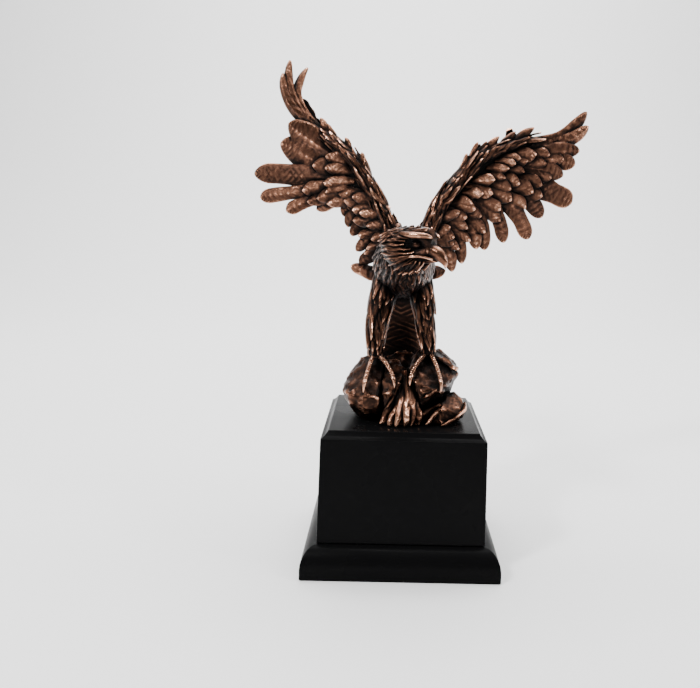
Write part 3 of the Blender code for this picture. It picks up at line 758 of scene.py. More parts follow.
faceStrand = {
    "rows": 20, "columns": 4, "thickness": 1.15, "shaft": 0.3, "shaftWidth": 0.4, "blunt": 3.4, "neck": 0.6,
    "point": 1.3, "wander": 0.85, "waves": 3.0, "backing": 0.9, "ragged": 0.22, "heave": 0.5,
}
faceLock = dict(faceStrand, rows=12, wander=0.4, waves=2.2, blunt=2.6)


def onHead(forward, side, up):
    return headCentre + headForward * forward + headSide * side + headUp * up


def skullAt(forward):
    stations = np.array(head["skull"])
    return [np.interp(forward, stations[:, 0], stations[:, column]) for column in (1, 2, 3)]


def onSkull(forward, up, side, rise=0.0):
    # A point on the skull's skin at a height, on one side of the head
    top, bottom, half = skullAt(forward)
    share = np.clip((up - (top + bottom) / 2) / ((top - bottom) / 2), -0.97, 0.97)
    return onHead(forward, side * (half * (1 - abs(share) ** squareness) ** (1 / squareness) + rise), up)


def headTube(stations, sides, count, kind, tip=None, mirror=1):
    # Stations are ahead, sideways, up, half width and half height
    laid = [(*onHead(ahead, aside * mirror, up), *size) for ahead, aside, up, *size in stations]
    end = None if tip is None else onHead(tip[0], tip[1] * mirror, tip[2])
    addTube(laid, sides, count, up=headUp, kind=kind, tip=end)


def addSkull():
    rings, sides = 46, 44
    table = smoothCurve(head["skull"], rings)
    turn = np.linspace(0, 2 * math.pi, sides, endpoint=False)
    wide = np.sign(np.cos(turn)) * np.abs(np.cos(turn)) ** (2 / squareness)
    high = np.sign(np.sin(turn)) * np.abs(np.sin(turn)) ** (2 / squareness)
    forward = np.broadcast_to(table[:, :1], (rings, sides))
    up = (table[:, 1:2] + table[:, 2:3]) / 2 + (table[:, 1:2] - table[:, 2:3]) / 2 * high
    side = table[:, 3:4] * wide
    ahead, level, reach, height, depth = head["socket"]
    hollow = depth * np.exp(-(((forward - ahead) / reach) ** 2 + ((up - level) / height) ** 2) ** 1.5)
    side = side - np.sign(side) * np.minimum(hollow, np.abs(side) * 0.8)
    grid = headCentre + forward[..., None] * headForward + side[..., None] * headSide
    grid = grid + up[..., None] * headUp
    along, across = np.broadcast_arrays(table[:, :1] / uvLong, (turn * 8 / uvWide)[None, :])
    casting.addGrid(grid, along, across, "lock")


def addHead():
    addSkull()
    for piece in beakTubes:
        headTube(*piece)
    for side in (1, -1):
        for piece in sideTubes:
            headTube(*piece, mirror=side)
        for rootAhead, rootUp, tipAhead, tipUp, width in cheekStrands:
            addStrand((rootAhead, rootUp), (tipAhead, tipUp), side, width, faceStrand)
        addCrown(side)


def addStrand(root, tip, side, width, build):
    # The middle point keeps a strand on the skull's curve
    shifts = [(chance.uniform(-0.3, 0.3), chance.uniform(-0.3, 0.3)) for _ in range(2)]
    root, tip = np.array(root) + shifts[0], np.array(tip) + shifts[1]
    middle = (root + tip) / 2 + (0.3, -0.8)
    halfway = onSkull(*middle, side, 0.35)
    addFeather(onSkull(*root, side, -0.7), onSkull(*tip, side, 0.6), width * chance.uniform(0.9, 1.15),
               halfway - onHead(middle[0], 0, middle[1] * 0.5), build, middle=halfway, kind="lock")


def addCrown(side):
    # Shorter locks lie over the crown and down the nape
    for ahead, reach in ((9.5, 8), (5, 9), (0.5, 10), (-4, 10), (-8.5, 10)):
        top = skullAt(ahead)[0]
        for number in range(head["crownLocks"] // 2):
            up = top - 0.15 - (0.2 + 0.9 * number) ** 1.7 * 0.42 + chance.uniform(-0.2, 0.2)
            if ahead > 3 and number > 2:
                continue
            back = ahead - reach * chance.uniform(0.8, 1.1)
            fall = skullAt(back)[0] - skullAt(ahead)[0]
            addStrand((ahead, up), (back, up + fall - 0.5 - 0.35 * number), side, 2.4, faceLock)


# Feet

feet = {
    "radius": 1.06,
    "ringPitch": 1.35,
    "ringDepth": 0.19,
    "step": 0.3,
    "sides": 10,
    "clawRadius": 1.25,
    "toes": (                # joints from the ankle out, then the claw's tip
        ((-17.8, -11, 38), (-20.4, -18.6, 33), (-22.4, -24.4, 26.5), (-22.9, -26.4, 24),
         (-23.6, -27.4, 17.4)),
        ((-16.6, -12, 37.5), (-11.6, -19.4, 34), (-7.8, -25, 29), (-7, -26.6, 26.5), (-6.2, -27.8, 21)),
        ((-17.5, -9, 36), (-18, 0, 36.6), (-18, 5, 35.4), (-18.2, 6.4, 34.6), (-18.6, 8.6, 30)),
        ((12.4, -12.4, 39), (7.4, -19, 35), (3.8, -24.6, 30), (3.2, -26.4, 27.6), (2.6, -27.6, 22.4)),
        ((13.3, -11.4, 40.5), (17, -18.6, 34.4), (19.4, -24.8, 28), (20, -26.8, 25.4), (20.1, -28, 18.8)),
        ((13, -9, 38), (13.5, 0, 39.4), (13.5, 5, 38.6), (13.6, 6.6, 37.6), (13.9, 8.8, 32.6)),
    ),
}


def makeToeTree():
    # A ringed tube along a path of points; each point's girth comes with it
    tree, group = newTree("ringedToe", {"Pitch": "Float", "Depth": "Float", "Sides": "Int"})
    given = group.outputs
    path = treeNode(tree, "MeshToCurve", (0, 0), Mesh=given["Geometry"])
    girth = treeNode(tree, "InputNamedAttribute", (0, -200), {"data_type": "FLOAT"}, Name="girth")
    place = treeNode(tree, "SplineParameter", (0, -400))
    turns = addMath(tree, "DIVIDE", (200, -400), place.outputs["Length"], given["Pitch"])
    angle = addMath(tree, "MULTIPLY", (350, -400), turns, 2 * math.pi)
    wave = addMath(tree, "SINE", (500, -400), angle)
    ringed = addMath(tree, "MULTIPLY_ADD", (650, -400), wave, given["Depth"], 1)
    size = addMath(tree, "MULTIPLY", (800, -300), girth.outputs[0], ringed)
    circle = treeNode(tree, "CurvePrimitiveCircle", (800, -600), Resolution=given["Sides"], Radius=1.0)
    skin = treeNode(tree, "CurveToMesh", (950, 0), Curve=path.outputs[0], Profile_Curve=circle.outputs[0],
                    Scale=size, Fill_Caps=True)
    return endTree(tree, given, skin.outputs["Mesh"])


def addPath(points, girth, depth):
    # Runs the toe tree over a path and takes the tube into the casting
    mesh = bpy.data.meshes.new("path")
    mesh.from_pydata(points.tolist(), [(step, step + 1) for step in range(len(points) - 1)], [])
    addAttribute(mesh, "girth", girth)
    values = {"Pitch": feet["ringPitch"], "Depth": depth, "Sides": feet["sides"]}
    shell, faces = runTree(toeTree, mesh, values)
    casting.addShell(shell, faces, shell[:, [0, 2]] * uvRock, "rock")


def addFeet():
    for *joints, claw in feet["toes"]:
        joints, claw = np.array(joints, float), np.array(claw, float)
        length = np.linalg.norm(np.diff(joints, axis=0), axis=1).sum()
        path = smoothCurve(joints, max(int(length / feet["step"]), 8))
        share = np.linspace(0, 1, len(path))
        addPath(path, feet["radius"] * (1.08 - 0.16 * share), feet["ringDepth"])
        last, before = joints[-1], joints[-3]
        away = normed(last - before)
        knuckle = last - away * 0.8
        halfway = last * 0.45 + claw * 0.55 + away * 0.9
        nail = smoothCurve((knuckle, last + away * 0.9, halfway, claw), 18)
        share = np.linspace(0, 1, len(nail))
        addPath(nail, feet["clawRadius"] * (1 - 0.93 * share ** 1.6), 0.0)


# Rock

rock = {
    "grain": 0.9,
    "chips": 0.105,       # chipped faces to a grid unit, and how deep they are hollowed
    "chipDepth": 3.6,
    "cell": 1.7,          # grid size of the roughened faces
    "bevel": 0.55,
    "boulders": (
        ((-37, -12, 16), (-34.5, -21, 16.6), (-24, -28, 15.4), (-14.5, -29, 16.2), (-32, -4, 27),
         (-26, -1, 34), (-19, -3, 37), (-12, -4, 36.4), (-31.6, -21.5, 8.8), (-23.5, -27.6, 7.6),
         (-15.4, -28.4, 9.2), (-27, -14, 0), (-21, -21, 0), (-12, -22, 0), (-35, -4, 10), (-28, 8, 0),
         (-26, 9, 25), (-10, 12, 30), (-4, 10, 0)),
        ((-13.2, -27.4, 17.6), (-8.5, -29, 18.8), (-3.4, -25.6, 23.4), (-6.6, -27.2, 15.6),
         (-11.4, -27.6, 7.2), (-12.6, -23, 6), (0, -12, 29), (-3, -6, 34), (-12, -6, 34), (-12, -10, 0),
         (-2, -8, 0), (-5, -22, 6)),
        ((5.1, -26, 24.4), (10.6, -28.4, 18.8), (9.6, -26, 11), (19.4, -28, 20.4), (22.6, -24, 22.6),
         (32.4, -8, 26.4), (29.6, -7, 32.4), (23.3, -6, 37.4), (17.3, -5, 40), (26.7, -11, 15.4),
         (10, -4, 41), (4, -8, 35), (2, -15, 30), (9, -18, 4), (24, -10, 8), (20, 8, 34), (28, 6, 18),
         (6, 10, 34), (4, 8, 4)),
        ((14, -12, 38), (22, -13.4, 36.2), (29, -12, 31.6), (32.2, -9, 28.6), (30, -12.6, 28.4),
         (22, -15, 33.4), (20, -2, 40.4), (30.4, -2, 32), (15, -2, 37)),
        ((22, -14, 15.6), (29.6, -12, 16.8), (34.8, -14, 12.8), (36.8, -15, 7), (35.2, -16, 2.4),
         (31.8, -26, 7), (21, -29.8, 1), (19.8, -28, 9.6), (33.4, -22, 10), (12, -22, 8), (28, -23, 0),
         (12, -25, 0), (33, -14, 0), (30, 4, 12), (32, 6, 0), (2, 0, 0)),
        ((-3, -19, 26), (4, -18, 26), (-10, -27, 0), (-3, -30, 0), (9, -27, 0), (-5, -26, 9), (4, -25, 10),
         (0, 0, 28), (0, 4, 0)),
        ((-28, 6, 0), (-24, 27, 0), (-2, 37, 0), (20, 28, 0), (28, 6, 0), (-24, 10, 24), (-17, 25, 19),
         (0, 34, 21), (16, 24, 23), (-2, 12, 37), (20, 0, 30)),
    ),
}
# Folds of rock that run down between the boulders: root, halfway point, tip, width
rockFolds = (
    ((-2.6, -13, 27), (-6.6, -25.5, 13), (-13.4, -29.5, 0.6), 4.6),
    ((-1.6, -14, 27.5), (-4.4, -27.5, 12), (-9.2, -32, 0.6), 4.4),
    ((-0.6, -14, 27.8), (-2, -28.4, 12.4), (-4.6, -33.6, 0.5), 4.2),
    ((0.6, -14, 27.8), (1.4, -28.4, 14), (-0.4, -33.4, 0.6), 4.0),
    ((1.8, -14, 27.4), (3.6, -27.6, 14), (3.8, -32.4, 0.8), 4.2),
    ((3, -13, 26.6), (5.4, -26, 13), (8.4, -31, 0.8), 4.4),
    ((20.6, -25.4, 11.2), (13, -26.8, 7.4), (7.2, -28.6, 1.2), 2.8),
    ((20.4, -27.6, 9.4), (17, -28.6, 6.4), (12.2, -30.4, 1.0), 2.6),
    ((35, -18, 10.6), (32, -26, 6.6), (20.6, -30.4, 1.2), 2.4),
    ((17.5, -27, 20.6), (13.8, -28.4, 18.2), (10, -27.8, 15.2), 2.2),
    ((-3.6, -24, 23.4), (-6.6, -26.6, 16), (-11.2, -27.8, 8.4), 2.0),
)
foldBuild = {
    "rows": 26, "columns": 6, "thickness": 0.9, "shaft": 0.7, "shaftWidth": 0.4, "blunt": 1.8, "neck": 0.9,
    "backing": 1.2, "ragged": 0.6, "wander": 0.6, "waves": 4, "heave": 1.7, "point": 1.6,
}


def hullOf(points):
    mesh = bmesh.new()
    for point in points:
        mesh.verts.new(point)
    made = bmesh.ops.convex_hull(mesh, input=mesh.verts)
    inside = made["geom_interior"] + made["geom_unused"]
    loose = dict.fromkeys(part for part in inside if isinstance(part, bmesh.types.BMVert))
    bmesh.ops.delete(mesh, geom=list(loose), context="VERTS")
    return mesh


def addBoulder(corners, seed):
    blunt = hullOf(corners)
    sharp = [edge for edge in blunt.edges if edge.calc_face_angle(0) > 0.25]
    bmesh.ops.bevel(blunt, geom=sharp, offset=rock["bevel"], segments=1, affect="EDGES", clamp_overlap=True)
    mesh = hullOf(sorted({tuple(round(value, 1) for value in point.co) for point in blunt.verts}))
    blunt.free()
    for _ in range(5):
        long = [edge for edge in mesh.edges if edge.calc_length() > rock["cell"] * 1.5]
        if not long:
            break
        bmesh.ops.subdivide_edges(mesh, edges=long, cuts=1, use_grid_fill=True)
        bmesh.ops.triangulate(mesh, faces=[face for face in mesh.faces if len(face.verts) > 3])
    mesh.normal_update()
    shift = Vector((seed * 11.3, seed * 7.1, seed * 3.7))
    moved = []
    for point in mesh.verts:
        here = point.co
        coarse = noise.multi_fractal(here * 0.09 + shift, 1.0, 2.1, 4) - 1
        strata = math.sin((here.z * 1.3 + here.x * 0.5 + 4 * noise.noise(here * 0.06 + shift)) * 1.1)
        nearest, second = noise.voronoi(here * rock["chips"] + shift)[0][:2]
        chipped = rock["chipDepth"] * (0.10 - min(second - nearest, 0.24))
        fine = noise.noise(here * 0.5 + shift)
        amount = rock["grain"] * (0.34 * coarse + 0.25 * strata + 0.3 * fine) + chipped
        moved.append(here + point.normal * max(min(amount, 1.4), -1.6))
    for point, place in zip(mesh.verts, moved):
        point.co = place if point.co.z > 0.6 else Vector((place.x, place.y, point.co.z))
        point.co.z = max(point.co.z, 0.0)
    mesh.verts.index_update()
    points = np.array([tuple(point.co) for point in mesh.verts])
    faces = [tuple(corner.index for corner in face.verts) for face in mesh.faces]
    casting.addShell(points, faces, points[:, [0, 2]] * uvRock, "rock")
    mesh.free()


def addRockFolds():
    for root, halfway, tip, width in rockFolds:
        addFeather(root, tip, width, (0, -1, 0.35), foldBuild, middle=halfway, kind="rock")


# Materials

def link(tree, fromSocket, toSocket):
    tree.links.new(fromSocket, toSocket)


def addNode(tree, kind, place, **inputs):
    made = tree.nodes.new(kind)
    made.location = place
    for name, value in inputs.items():
        made.inputs[name].default_value = value
    return made


def addRamp(tree, place, stops):
    ramp = tree.nodes.new("ShaderNodeValToRGB")
    ramp.location = place
    elements = ramp.color_ramp.elements
    while len(elements) < len(stops):
        elements.new(0.5)
    for element, (position, value) in zip(elements, stops):
        element.position = position
        element.color = (*value, 1) if hasattr(value, "__len__") else (value, value, value, 1)
    return ramp


bronze = {
    "patinaAndPaintedLight": (                      # level, from a hollow to a raised edge, and its colour: dark patina and painted shade in the hollows, rubbed copper and painted highlight on the edges
        (0.05, (0.0018, 0.0015, 0.0014)),
        (0.28, (0.0062, 0.0038, 0.0031)),
        (0.50, (0.024, 0.0112, 0.0074)),
        (0.76, (0.15, 0.066, 0.039)),
        (1.0, (0.92, 0.49, 0.32)),
    ),
    "roughness": ((0.1, 0.50), (0.5, 0.33), (1.0, 0.20)),
    "metallic": 0.92,
    "wearAndHighlight": (1.9, 0.34),             # how much a raised edge lightens the level, rubbed copper and painted highlight both, and where it starts
    "hollow": (-1.3, 0.26),          # and how much a hollow darkens it, patina and painted shade both
    "cloud": 0.36, "cloudScale": 70.0,
    "speck": 0.24, "speckScale": 620.0,
    "barbTone": 0.05, "barbHeight": 0.32,
    "barbPitch": 1.0, "barbLean": 1.9, "strandPitch": 0.8, "ripple": 26,
    # from each kind on, the shift of its level; 0.5 shifts nothing
    # The eye's kind, which the nostril shares, sits near black as painted shade of the socket and of the
    # nostril's hole; the horn of beak and brow sits lighter, polished copper and painted highlight both
    "kindShift": ((0.0, 0.49), (0.2, 0.48), (0.4, 0.28), (0.47, 0.41), (0.6, 0.56), (0.8, 0.14)),
    "kindWidth": 0.08,               # how far a tag may lie from its kind
    "toneSpread": 0.14,
}


def makeBronze():
    material = bpy.data.materials.new("antiqueBronze")
    material.use_nodes = True
    tree = material.node_tree
    shader = tree.nodes["Principled BSDF"]
    cavity = addNode(tree, "ShaderNodeAttribute", (-1500, 300))
    cavity.attribute_name = "cavity"
    wearAndHighlight = addNode(tree, "ShaderNodeAttribute", (-1500, 100))
    wearAndHighlight.attribute_name = "wearAndHighlight"
    place = addNode(tree, "ShaderNodeTexCoord", (-1500, -200))
    cloud = addNode(tree, "ShaderNodeTexNoise", (-1300, -200), Scale=bronze["cloudScale"], Detail=5.0,
                    Roughness=0.6)
    speck = addNode(tree, "ShaderNodeTexNoise", (-1300, -450), Scale=bronze["speckScale"], Detail=3.0,
                    Roughness=0.6)
    link(tree, place.outputs["Object"], cloud.inputs["Vector"])
    link(tree, place.outputs["Object"], speck.inputs["Vector"])
    # A raised edge lifts the level towards bright copper: rubbed copper and painted highlight both
    raised = addMath(tree, "MULTIPLY_ADD", (-1100, 100), wearAndHighlight.outputs["Fac"], *bronze["wearAndHighlight"])
    # A hollow drops the level towards near black: patina and painted shade both
    sunk = addMath(tree, "MULTIPLY_ADD", (-1100, 300), cavity.outputs["Fac"], *bronze["hollow"])
    mixed = addMath(tree, "ADD", (-900, 200), raised, sunk)
    clouded = addMath(tree, "MULTIPLY_ADD", (-900, 0), cloud.outputs["Fac"], bronze["cloud"],
                      -bronze["cloud"] / 2)
    specked = addMath(tree, "MULTIPLY_ADD", (-900, -150), speck.outputs["Fac"], bronze["speck"],
                      -bronze["speck"] / 2)
    barbs, tone = addBarbs(tree, cloud)
    lines = addMath(tree, "MULTIPLY_ADD", (-800, -300), barbs, bronze["barbTone"], tone)
    spread = addMath(tree, "ADD", (-750, -100), specked, lines)
    even = addMath(tree, "ADD", (-800, 100), mixed, clouded)
    level = addMath(tree, "ADD", (-700, 100), even, spread, clamp=True)
    colour = addRamp(tree, (-500, 200), bronze["patinaAndPaintedLight"])
    rough = addRamp(tree, (-500, -100), bronze["roughness"])
    link(tree, level, colour.inputs["Fac"])
    link(tree, level, rough.inputs["Fac"])
    link(tree, colour.outputs["Color"], shader.inputs["Base Color"])
    link(tree, rough.outputs["Color"], shader.inputs["Roughness"])
    shader.inputs["Metallic"].default_value = bronze["metallic"]
    bump = addNode(tree, "ShaderNodeBump", (-300, -350), Strength=0.6, Distance=0.00025)
    height = addMath(tree, "MULTIPLY_ADD", (-500, -400), barbs, bronze["barbHeight"], speck.outputs["Fac"])
    link(tree, height, bump.inputs["Height"])
    link(tree, bump.outputs["Normal"], shader.inputs["Normal"])
    return material


def addBarbs(tree, cloud):
    # Fine lines that lean off a vane's shaft or run along a lock, and a tone for each shell
    place = tree.nodes.new("ShaderNodeUVMap")
    place.uv_map, place.location = "UVMap", (-2100, -700)
    tag = tree.nodes.new("ShaderNodeUVMap")
    tag.uv_map, tag.location = "tag", (-2100, -1000)
    split = addNode(tree, "ShaderNodeSeparateXYZ", (-1900, -700))
    link(tree, place.outputs["UV"], split.inputs[0])
    parts = addNode(tree, "ShaderNodeSeparateXYZ", (-1900, -1000))
    link(tree, tag.outputs["UV"], parts.inputs[0])
    lateral = addMath(tree, "MULTIPLY_ADD", (-1700, -700), split.outputs["X"], uvWide, -uvWide / 2)
    sideways = addMath(tree, "ABSOLUTE", (-1500, -700), lateral)
    along = addMath(tree, "MULTIPLY", (-1700, -850), split.outputs["Y"], uvLong)
    leaning = addMath(tree, "MULTIPLY_ADD", (-1300, -700), sideways, -bronze["barbLean"], along)
    ripple = addMath(tree, "MULTIPLY", (-1500, -550), cloud.outputs["Fac"], bronze["ripple"])
    barbRate, strandRate = 2 * math.pi / bronze["barbPitch"], 2 * math.pi / bronze["strandPitch"]
    vane = addMath(tree, "MULTIPLY_ADD", (-1100, -700), leaning, barbRate, ripple)
    lock = addMath(tree, "MULTIPLY_ADD", (-1100, -850), lateral, strandRate, ripple)
    isVane, isLock = (addMath(tree, "COMPARE", place, parts.outputs["X"], kinds[kind], bronze["kindWidth"])
                      for place, kind in (((-1700, -1000), "vane"), ((-1700, -1150), "lock")))
    vaneLines = addMath(tree, "MULTIPLY", (-900, -700), addMath(tree, "SINE", (-1000, -700), vane), isVane)
    lockLines = addMath(tree, "MULTIPLY", (-900, -850), addMath(tree, "SINE", (-1000, -850), lock), isLock)
    kindShift = addRamp(tree, (-1700, -1500), bronze["kindShift"])
    kindShift.color_ramp.interpolation = "CONSTANT"
    link(tree, parts.outputs["X"], kindShift.inputs["Fac"])
    shifted = addMath(tree, "SUBTRACT", (-1400, -1500), kindShift.outputs["Color"],
                      0.5 + bronze["toneSpread"] / 2)
    tone = addMath(tree, "MULTIPLY_ADD", (-1200, -1300), parts.outputs["Y"], bronze["toneSpread"], shifted)
    return addMath(tree, "ADD", (-800, -750), vaneLines, lockLines), tone


lacquer = {"colour": (0.0036, 0.0036, 0.0038), "roughness": 0.28, "specular": 0.025}


def makeLacquer():
    material = bpy.data.materials.new("blackLacquer")
    material.use_nodes = True
    tree = material.node_tree
    shader = tree.nodes["Principled BSDF"]
    shader.inputs["Base Color"].default_value = (*lacquer["colour"], 1)
    shader.inputs["Specular IOR Level"].default_value = lacquer["specular"]
    place = addNode(tree, "ShaderNodeTexCoord", (-900, 0))
    cloud = addNode(tree, "ShaderNodeTexNoise", (-700, 100), Scale=35.0, Detail=4.0)
    grain = addNode(tree, "ShaderNodeTexNoise", (-700, -200), Scale=900.0, Detail=2.0)
    link(tree, place.outputs["Object"], cloud.inputs["Vector"])
    link(tree, place.outputs["Object"], grain.inputs["Vector"])
    even = lacquer["roughness"]
    rough = addRamp(tree, (-450, 100), ((0.3, even - 0.05), (0.7, even + 0.07)))
    link(tree, cloud.outputs["Fac"], rough.inputs["Fac"])
    link(tree, rough.outputs["Color"], shader.inputs["Roughness"])
    bump = addNode(tree, "ShaderNodeBump", (-250, -250), Strength=0.12, Distance=0.0002)
    link(tree, grain.outputs["Fac"], bump.inputs["Height"])
    link(tree, bump.outputs["Normal"], shader.inputs["Normal"])
    return material


bronzeMaterial = makeBronze()
lacquerMaterial = makeLacquer()


# Build the casting

lockTree = makeLockTree()
lockPatterns, lockFaces, lockUv = makeLockPatterns()
for number, corners in enumerate(rock["boulders"]):
    addBoulder(corners, number + 1)
addRockFolds()
say(f"rock: {len(casting.shells)} shells")
toeTree = makeToeTree()
addBody()
addHead()
addFeet()
addWing(leftFlight, leftArm, leftRows, leftSpikes, 21)
addWing(rightFlight, rightArm, rightRows, rightSpikes, 22)
say(f"patterns: {len(casting.shells)} shells, {sum(len(shell[1]) for shell in casting.shells)} faces")
eagle = casting.fuse("eagleOnRock")
say(f"fused: {len(eagle.data.vertices)} points, {len(eagle.data.polygons)} faces")


def measureSurface(mesh):
    # Per-point measures for the colour: cavity is 1 deep in a recess, where the colour is darkened as patina
    # and painted shade; the edge measure is 1 on a raised edge, where the colour is lightened as rubbed
    # copper and painted highlight
    count = len(mesh.vertices)
    points, edges = readPoints(mesh), readEdges(mesh)
    normals = np.empty(count * 3, np.float32)
    mesh.vertex_normals.foreach_get("vector", normals)
    normals = normals.reshape(-1, 3)
    span = points[edges[:, 1]] - points[edges[:, 0]]
    size = np.maximum(np.linalg.norm(span, axis=1), 2e-5)
    degree = np.bincount(edges.ravel(), minlength=count).astype(float)
    bend = np.zeros(count)
    np.add.at(bend, edges[:, 0], -np.einsum("ij,ij->i", span, normals[edges[:, 0]]) / size)
    np.add.at(bend, edges[:, 1], np.einsum("ij,ij->i", span, normals[edges[:, 1]]) / size)
    bend /= np.maximum(degree, 1)

    def blur(values, times):
        for _ in range(times):
            total = values.copy()
            np.add.at(total, edges[:, 0], values[edges[:, 1]])
            np.add.at(total, edges[:, 1], values[edges[:, 0]])
            values = total / (degree + 1)
        return values

    # Rays count how closed in each point is; the colour is darkened by it as painted shade as well as patina
    tree = BVHTree.FromPolygons(points.tolist(), [tuple(face.vertices) for face in mesh.polygons])
    rays = figure["cavityRays"]
    spiral = np.arange(rays) + 0.5
    high = np.sqrt(1 - spiral / rays * 0.92)
    flat = np.sqrt(1 - high**2)
    turns = spiral * math.pi * (3 - math.sqrt(5))
    hits = np.zeros(count)
    helper = np.where(np.abs(normals[:, 2:3]) < 0.9, [[0, 0, 1.0]], [[1.0, 0, 0]])
    tangent = normed(np.cross(normals, helper))
    other = np.cross(normals, tangent)
    origin = points + normals * 1.5e-4
    reach = figure["cavityReach"]
    for step in range(rays):
        ahead, aside = flat[step] * math.cos(turns[step]), flat[step] * math.sin(turns[step])
        ways = tangent * ahead + other * aside + normals * high[step]
        for index, (start, way) in enumerate(zip(origin.tolist(), ways.tolist())):
            distance = tree.ray_cast(start, way, reach)[3]
            if distance is not None:
                hits[index] += 1 - 0.6 * distance / reach
    cavity = blur(hits / rays, 1)
    wearAndHighlight = blur(bend, 1)
    for name, values in (("cavity", cavity), ("wearAndHighlight", wearAndHighlight)):
        addAttribute(mesh, name, values)
    say(f"surface measured: cavity {cavity.mean():.2f}, wear {np.percentile(wearAndHighlight, (5, 50, 95)).round(3)}")


eagle.data.polygons.foreach_set("use_smooth", np.ones(len(eagle.data.polygons), bool))
eagle.data.set_sharp_from_angle(angle=math.radians(figure["creaseAngle"]))
measureSurface(eagle.data)


eagle.data.materials.clear()
eagle.data.materials.append(bronzeMaterial)
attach(eagle, "root")
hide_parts("eagle_on_rock")
say("eagle on its rock done")


# Plinth

plinth = {
    "blockWidth": 0.0924, "top": 0.0818, "draft": 0.0011, "stepInset": 0.0039, "stepDrop": 0.0039,
    "coveWidth": 0.0026, "coveHeight": 0.0024, "blockEase": 0.0006, "footEase": 0.0005,
    "footOverhang": 0.0086, "footHeight": 0.0178, "footEdge": 0.0050, "gap": 0.0003, "cornerRadius": 0.0009,
    "cornerSteps": 4,
}


def roundedSquare(half, height):
    # One ring of the plinth, its corners just eased
    radius, steps = plinth["cornerRadius"], plinth["cornerSteps"]
    ring = []
    for quarter in range(4):
        for step in range(steps + 1):
            turn = math.radians(-180 + 90 * quarter + 90 * step / steps)
            centreX = (half - radius) * (1 if quarter in (1, 2) else -1)
            centreY = (half - radius) * (1 if quarter in (2, 3) else -1)
            ring.append((centreX + radius * math.cos(turn), centreY + radius * math.sin(turn), height))
    return ring


def addMoulded(name, profile):
    shape = bmesh.new()
    rings = [[shape.verts.new(point) for point in roundedSquare(half, height)] for half, height in profile]
    count = len(rings[0])
    for lower, upper in zip(rings, rings[1:]):
        for side in range(count):
            after = (side + 1) % count
            shape.faces.new((lower[side], lower[after], upper[after], upper[side]))
    shape.faces.new(list(reversed(rings[0])))
    shape.faces.new(rings[-1])
    bmesh.ops.recalc_face_normals(shape, faces=shape.faces)
    mesh = bpy.data.meshes.new(name)
    shape.to_mesh(mesh)
    shape.free()
    mesh.polygons.foreach_set("use_smooth", np.ones(len(mesh.polygons), bool))
    mesh.set_sharp_from_angle(angle=math.radians(30))
    mesh.materials.append(lacquerMaterial)
    made = bpy.data.objects.new(name, mesh)
    bpy.context.scene.collection.objects.link(made)
    return made


def blockProfile():
    half, top = plinth["blockWidth"] / 2, plinth["top"]
    inset, shoulder = plinth["stepInset"], plinth["top"] - plinth["stepDrop"]
    ease = plinth["blockEase"]
    profile = [(half + plinth["draft"] - ease, plinth["footHeight"] + plinth["gap"]),
               (half + plinth["draft"], plinth["footHeight"] + plinth["gap"] + ease)]
    for turn in np.linspace(0, math.pi / 2, 7):
        profile.append((half - ease * (1 - math.cos(turn)), shoulder - ease * (1 - math.sin(turn))))
    for turn in np.linspace(math.pi / 2, 0, 9):
        profile.append((half - inset + plinth["coveWidth"] * (1 - math.sin(turn)),
                        shoulder + plinth["coveHeight"] * (1 - math.cos(turn))))
    for turn in np.linspace(0, math.pi / 2, 5):
        profile.append((half - inset - ease * (1 - math.cos(turn)), top - ease * (1 - math.sin(turn))))
    return profile


def footProfile():
    inner = plinth["blockWidth"] / 2 + plinth["draft"]
    over, edge, high = plinth["footOverhang"], plinth["footEdge"], plinth["footHeight"]
    ease = plinth["footEase"]
    profile = [(inner + over - ease, 0.0), (inner + over, ease), (inner + over, edge)]
    for turn in np.linspace(0, math.pi / 2, 17)[1:]:
        profile.append((inner + over * math.cos(turn), edge + (high - edge) * math.sin(turn)))
    return profile


block = addMoulded("plinthBlock", blockProfile())
foot = addMoulded("plinthFoot", footProfile())
for piece, node in ((block, "plinth_block"), (foot, "plinth_foot")):
    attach(piece, "root")
    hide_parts(node)
say("plinth done")


# Floor, light and camera

studio = {
    "floorColour": (0.95, 0.95, 0.95),
    "sky": 1.5,              # brightness of the room above and behind
    "room": 0.10,            # and of the room behind the camera
    "floorHalf": 3.0, "wallAt": 1.6, "wallTop": 3.2, "bend": 0.8,
    "lights": (              # name, place, aim, size, watts
        ("keyLeft", (-0.55, -0.60, 0.80), (0, 0, 0.18), 0.14, 8.5),
        ("fillRight", (0.75, -0.35, 0.55), (0, 0, 0.18), 0.14, 2.3),
        ("topLight", (0.05, 0.05, 1.10), (0, 0, 0.16), 0.40, 4),
        ("backdropLight", (0, 0.65, 1.5), (0, 1.6, 0.45), 1.2, 44),
    ),
}
camera = {
    # focal length and optical centre in the frame's pixels, place in metres, angles in radians
    "width": 700, "height": 688, "sensor": 36, "focal": 768.055, "centre": (409.222, 323.648),
    "place": (-0.010442, -0.454066, 0.202286), "yaw": 0.027, "pitch": 0.144, "roll": 0.033,
}


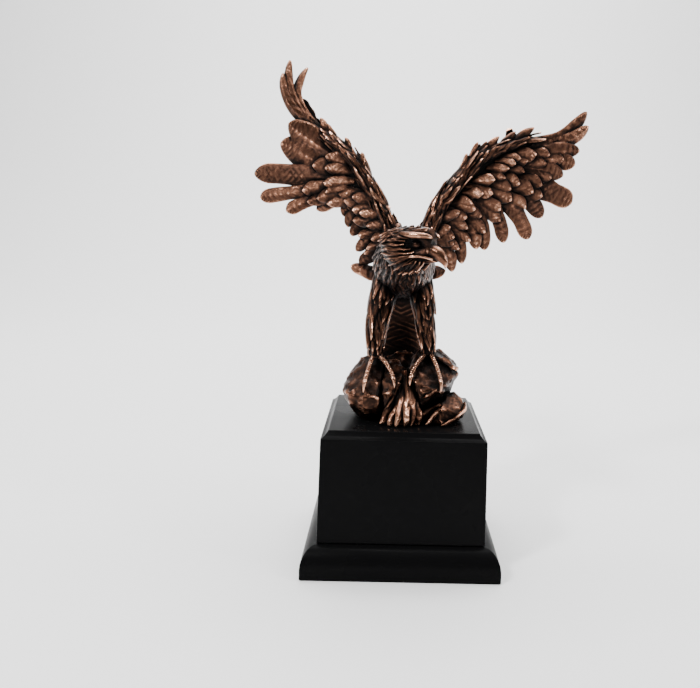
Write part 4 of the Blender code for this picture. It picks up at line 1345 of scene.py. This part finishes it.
def addStudio():
    shape = bmesh.new()
    half, back, radius = studio["floorHalf"], studio["wallAt"], studio["bend"]
    rows = [(-half, 0.0)]
    for turn in np.linspace(0, math.pi / 2, 13):
        rows.append((back - radius + radius * math.sin(turn), radius * (1 - math.cos(turn))))
    rows.append((back, studio["wallTop"]))
    rings = [[shape.verts.new((x, y, z)) for x in (-half, half)] for y, z in rows]
    for near, far in zip(rings, rings[1:]):
        shape.faces.new((near[0], near[1], far[1], far[0]))
    mesh = bpy.data.meshes.new("floor")
    shape.to_mesh(mesh)
    shape.free()
    mesh.polygons.foreach_set("use_smooth", np.ones(len(mesh.polygons), bool))
    floor = bpy.data.objects.new("floor", mesh)
    bpy.context.scene.collection.objects.link(floor)
    paper = bpy.data.materials.new("paper")
    paper.use_nodes = True
    shader = paper.node_tree.nodes["Principled BSDF"]
    shader.inputs["Base Color"].default_value = (*studio["floorColour"], 1)
    shader.inputs["Roughness"].default_value = 0.9
    mesh.materials.append(paper)
    floor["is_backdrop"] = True
    world = bpy.data.worlds.new("studio")
    bpy.context.scene.world = world
    world.use_nodes = True
    tree = world.node_tree
    place = addNode(tree, "ShaderNodeTexCoord", (-900, 0))
    split = addNode(tree, "ShaderNodeSeparateXYZ", (-700, 0))
    link(tree, place.outputs["Generated"], split.inputs[0])
    high = addMath(tree, "MULTIPLY_ADD", (-500, 0), split.outputs["Z"], 0.9, split.outputs["Y"])
    room = addRamp(tree, (-300, 0), ((0.0, studio["room"]), (0.45, studio["sky"])))
    link(tree, high, room.inputs["Fac"])
    link(tree, room.outputs["Color"], tree.nodes["Background"].inputs["Color"])
    for name, place, aim, size, watts in studio["lights"]:
        lamp = bpy.data.lights.new(name, "AREA")
        lamp.energy, lamp.size = watts, size
        made = bpy.data.objects.new(name, lamp)
        made.location = place
        made.rotation_euler = (Vector(aim) - Vector(place)).to_track_quat("-Z", "Y").to_euler()
        bpy.context.scene.collection.objects.link(made)


def addCamera():
    yaw, pitch, roll = camera["yaw"], camera["pitch"], camera["roll"]
    view = Vector((math.sin(yaw) * math.cos(pitch), math.cos(yaw) * math.cos(pitch), -math.sin(pitch)))
    right = Vector((math.cos(yaw), -math.sin(yaw), 0))
    up = right.cross(view)
    right, up = right * math.cos(roll) + up * math.sin(roll), up * math.cos(roll) - right * math.sin(roll)
    lens = bpy.data.cameras.new("camera")
    width, height, centre = camera["width"], camera["height"], camera["centre"]
    lens.sensor_width = camera["sensor"]
    lens.lens = camera["focal"] * camera["sensor"] / width
    lens.shift_x, lens.shift_y = (width / 2 - centre[0]) / width, (centre[1] - height / 2) / width
    lens.clip_start = 0.01
    made = bpy.data.objects.new("camera", lens)
    made.matrix_world = Matrix.Translation(camera["place"]) @ Matrix((right, up, -view)).transposed().to_4x4()
    bpy.context.scene.collection.objects.link(made)
    bpy.context.scene.camera = made


addStudio()
addCamera()
lookLow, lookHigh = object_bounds()
eagle.data.calc_loop_triangles()
boxes = [[round(value, 4) for value in corner] for corner in (cadLow, cadHigh, lookLow, lookHigh)]
say(f"eagle {len(eagle.data.loop_triangles)} triangles")
say(f"CAD {boxes[0]} to {boxes[1]}, looks {boxes[2]} to {boxes[3]}")
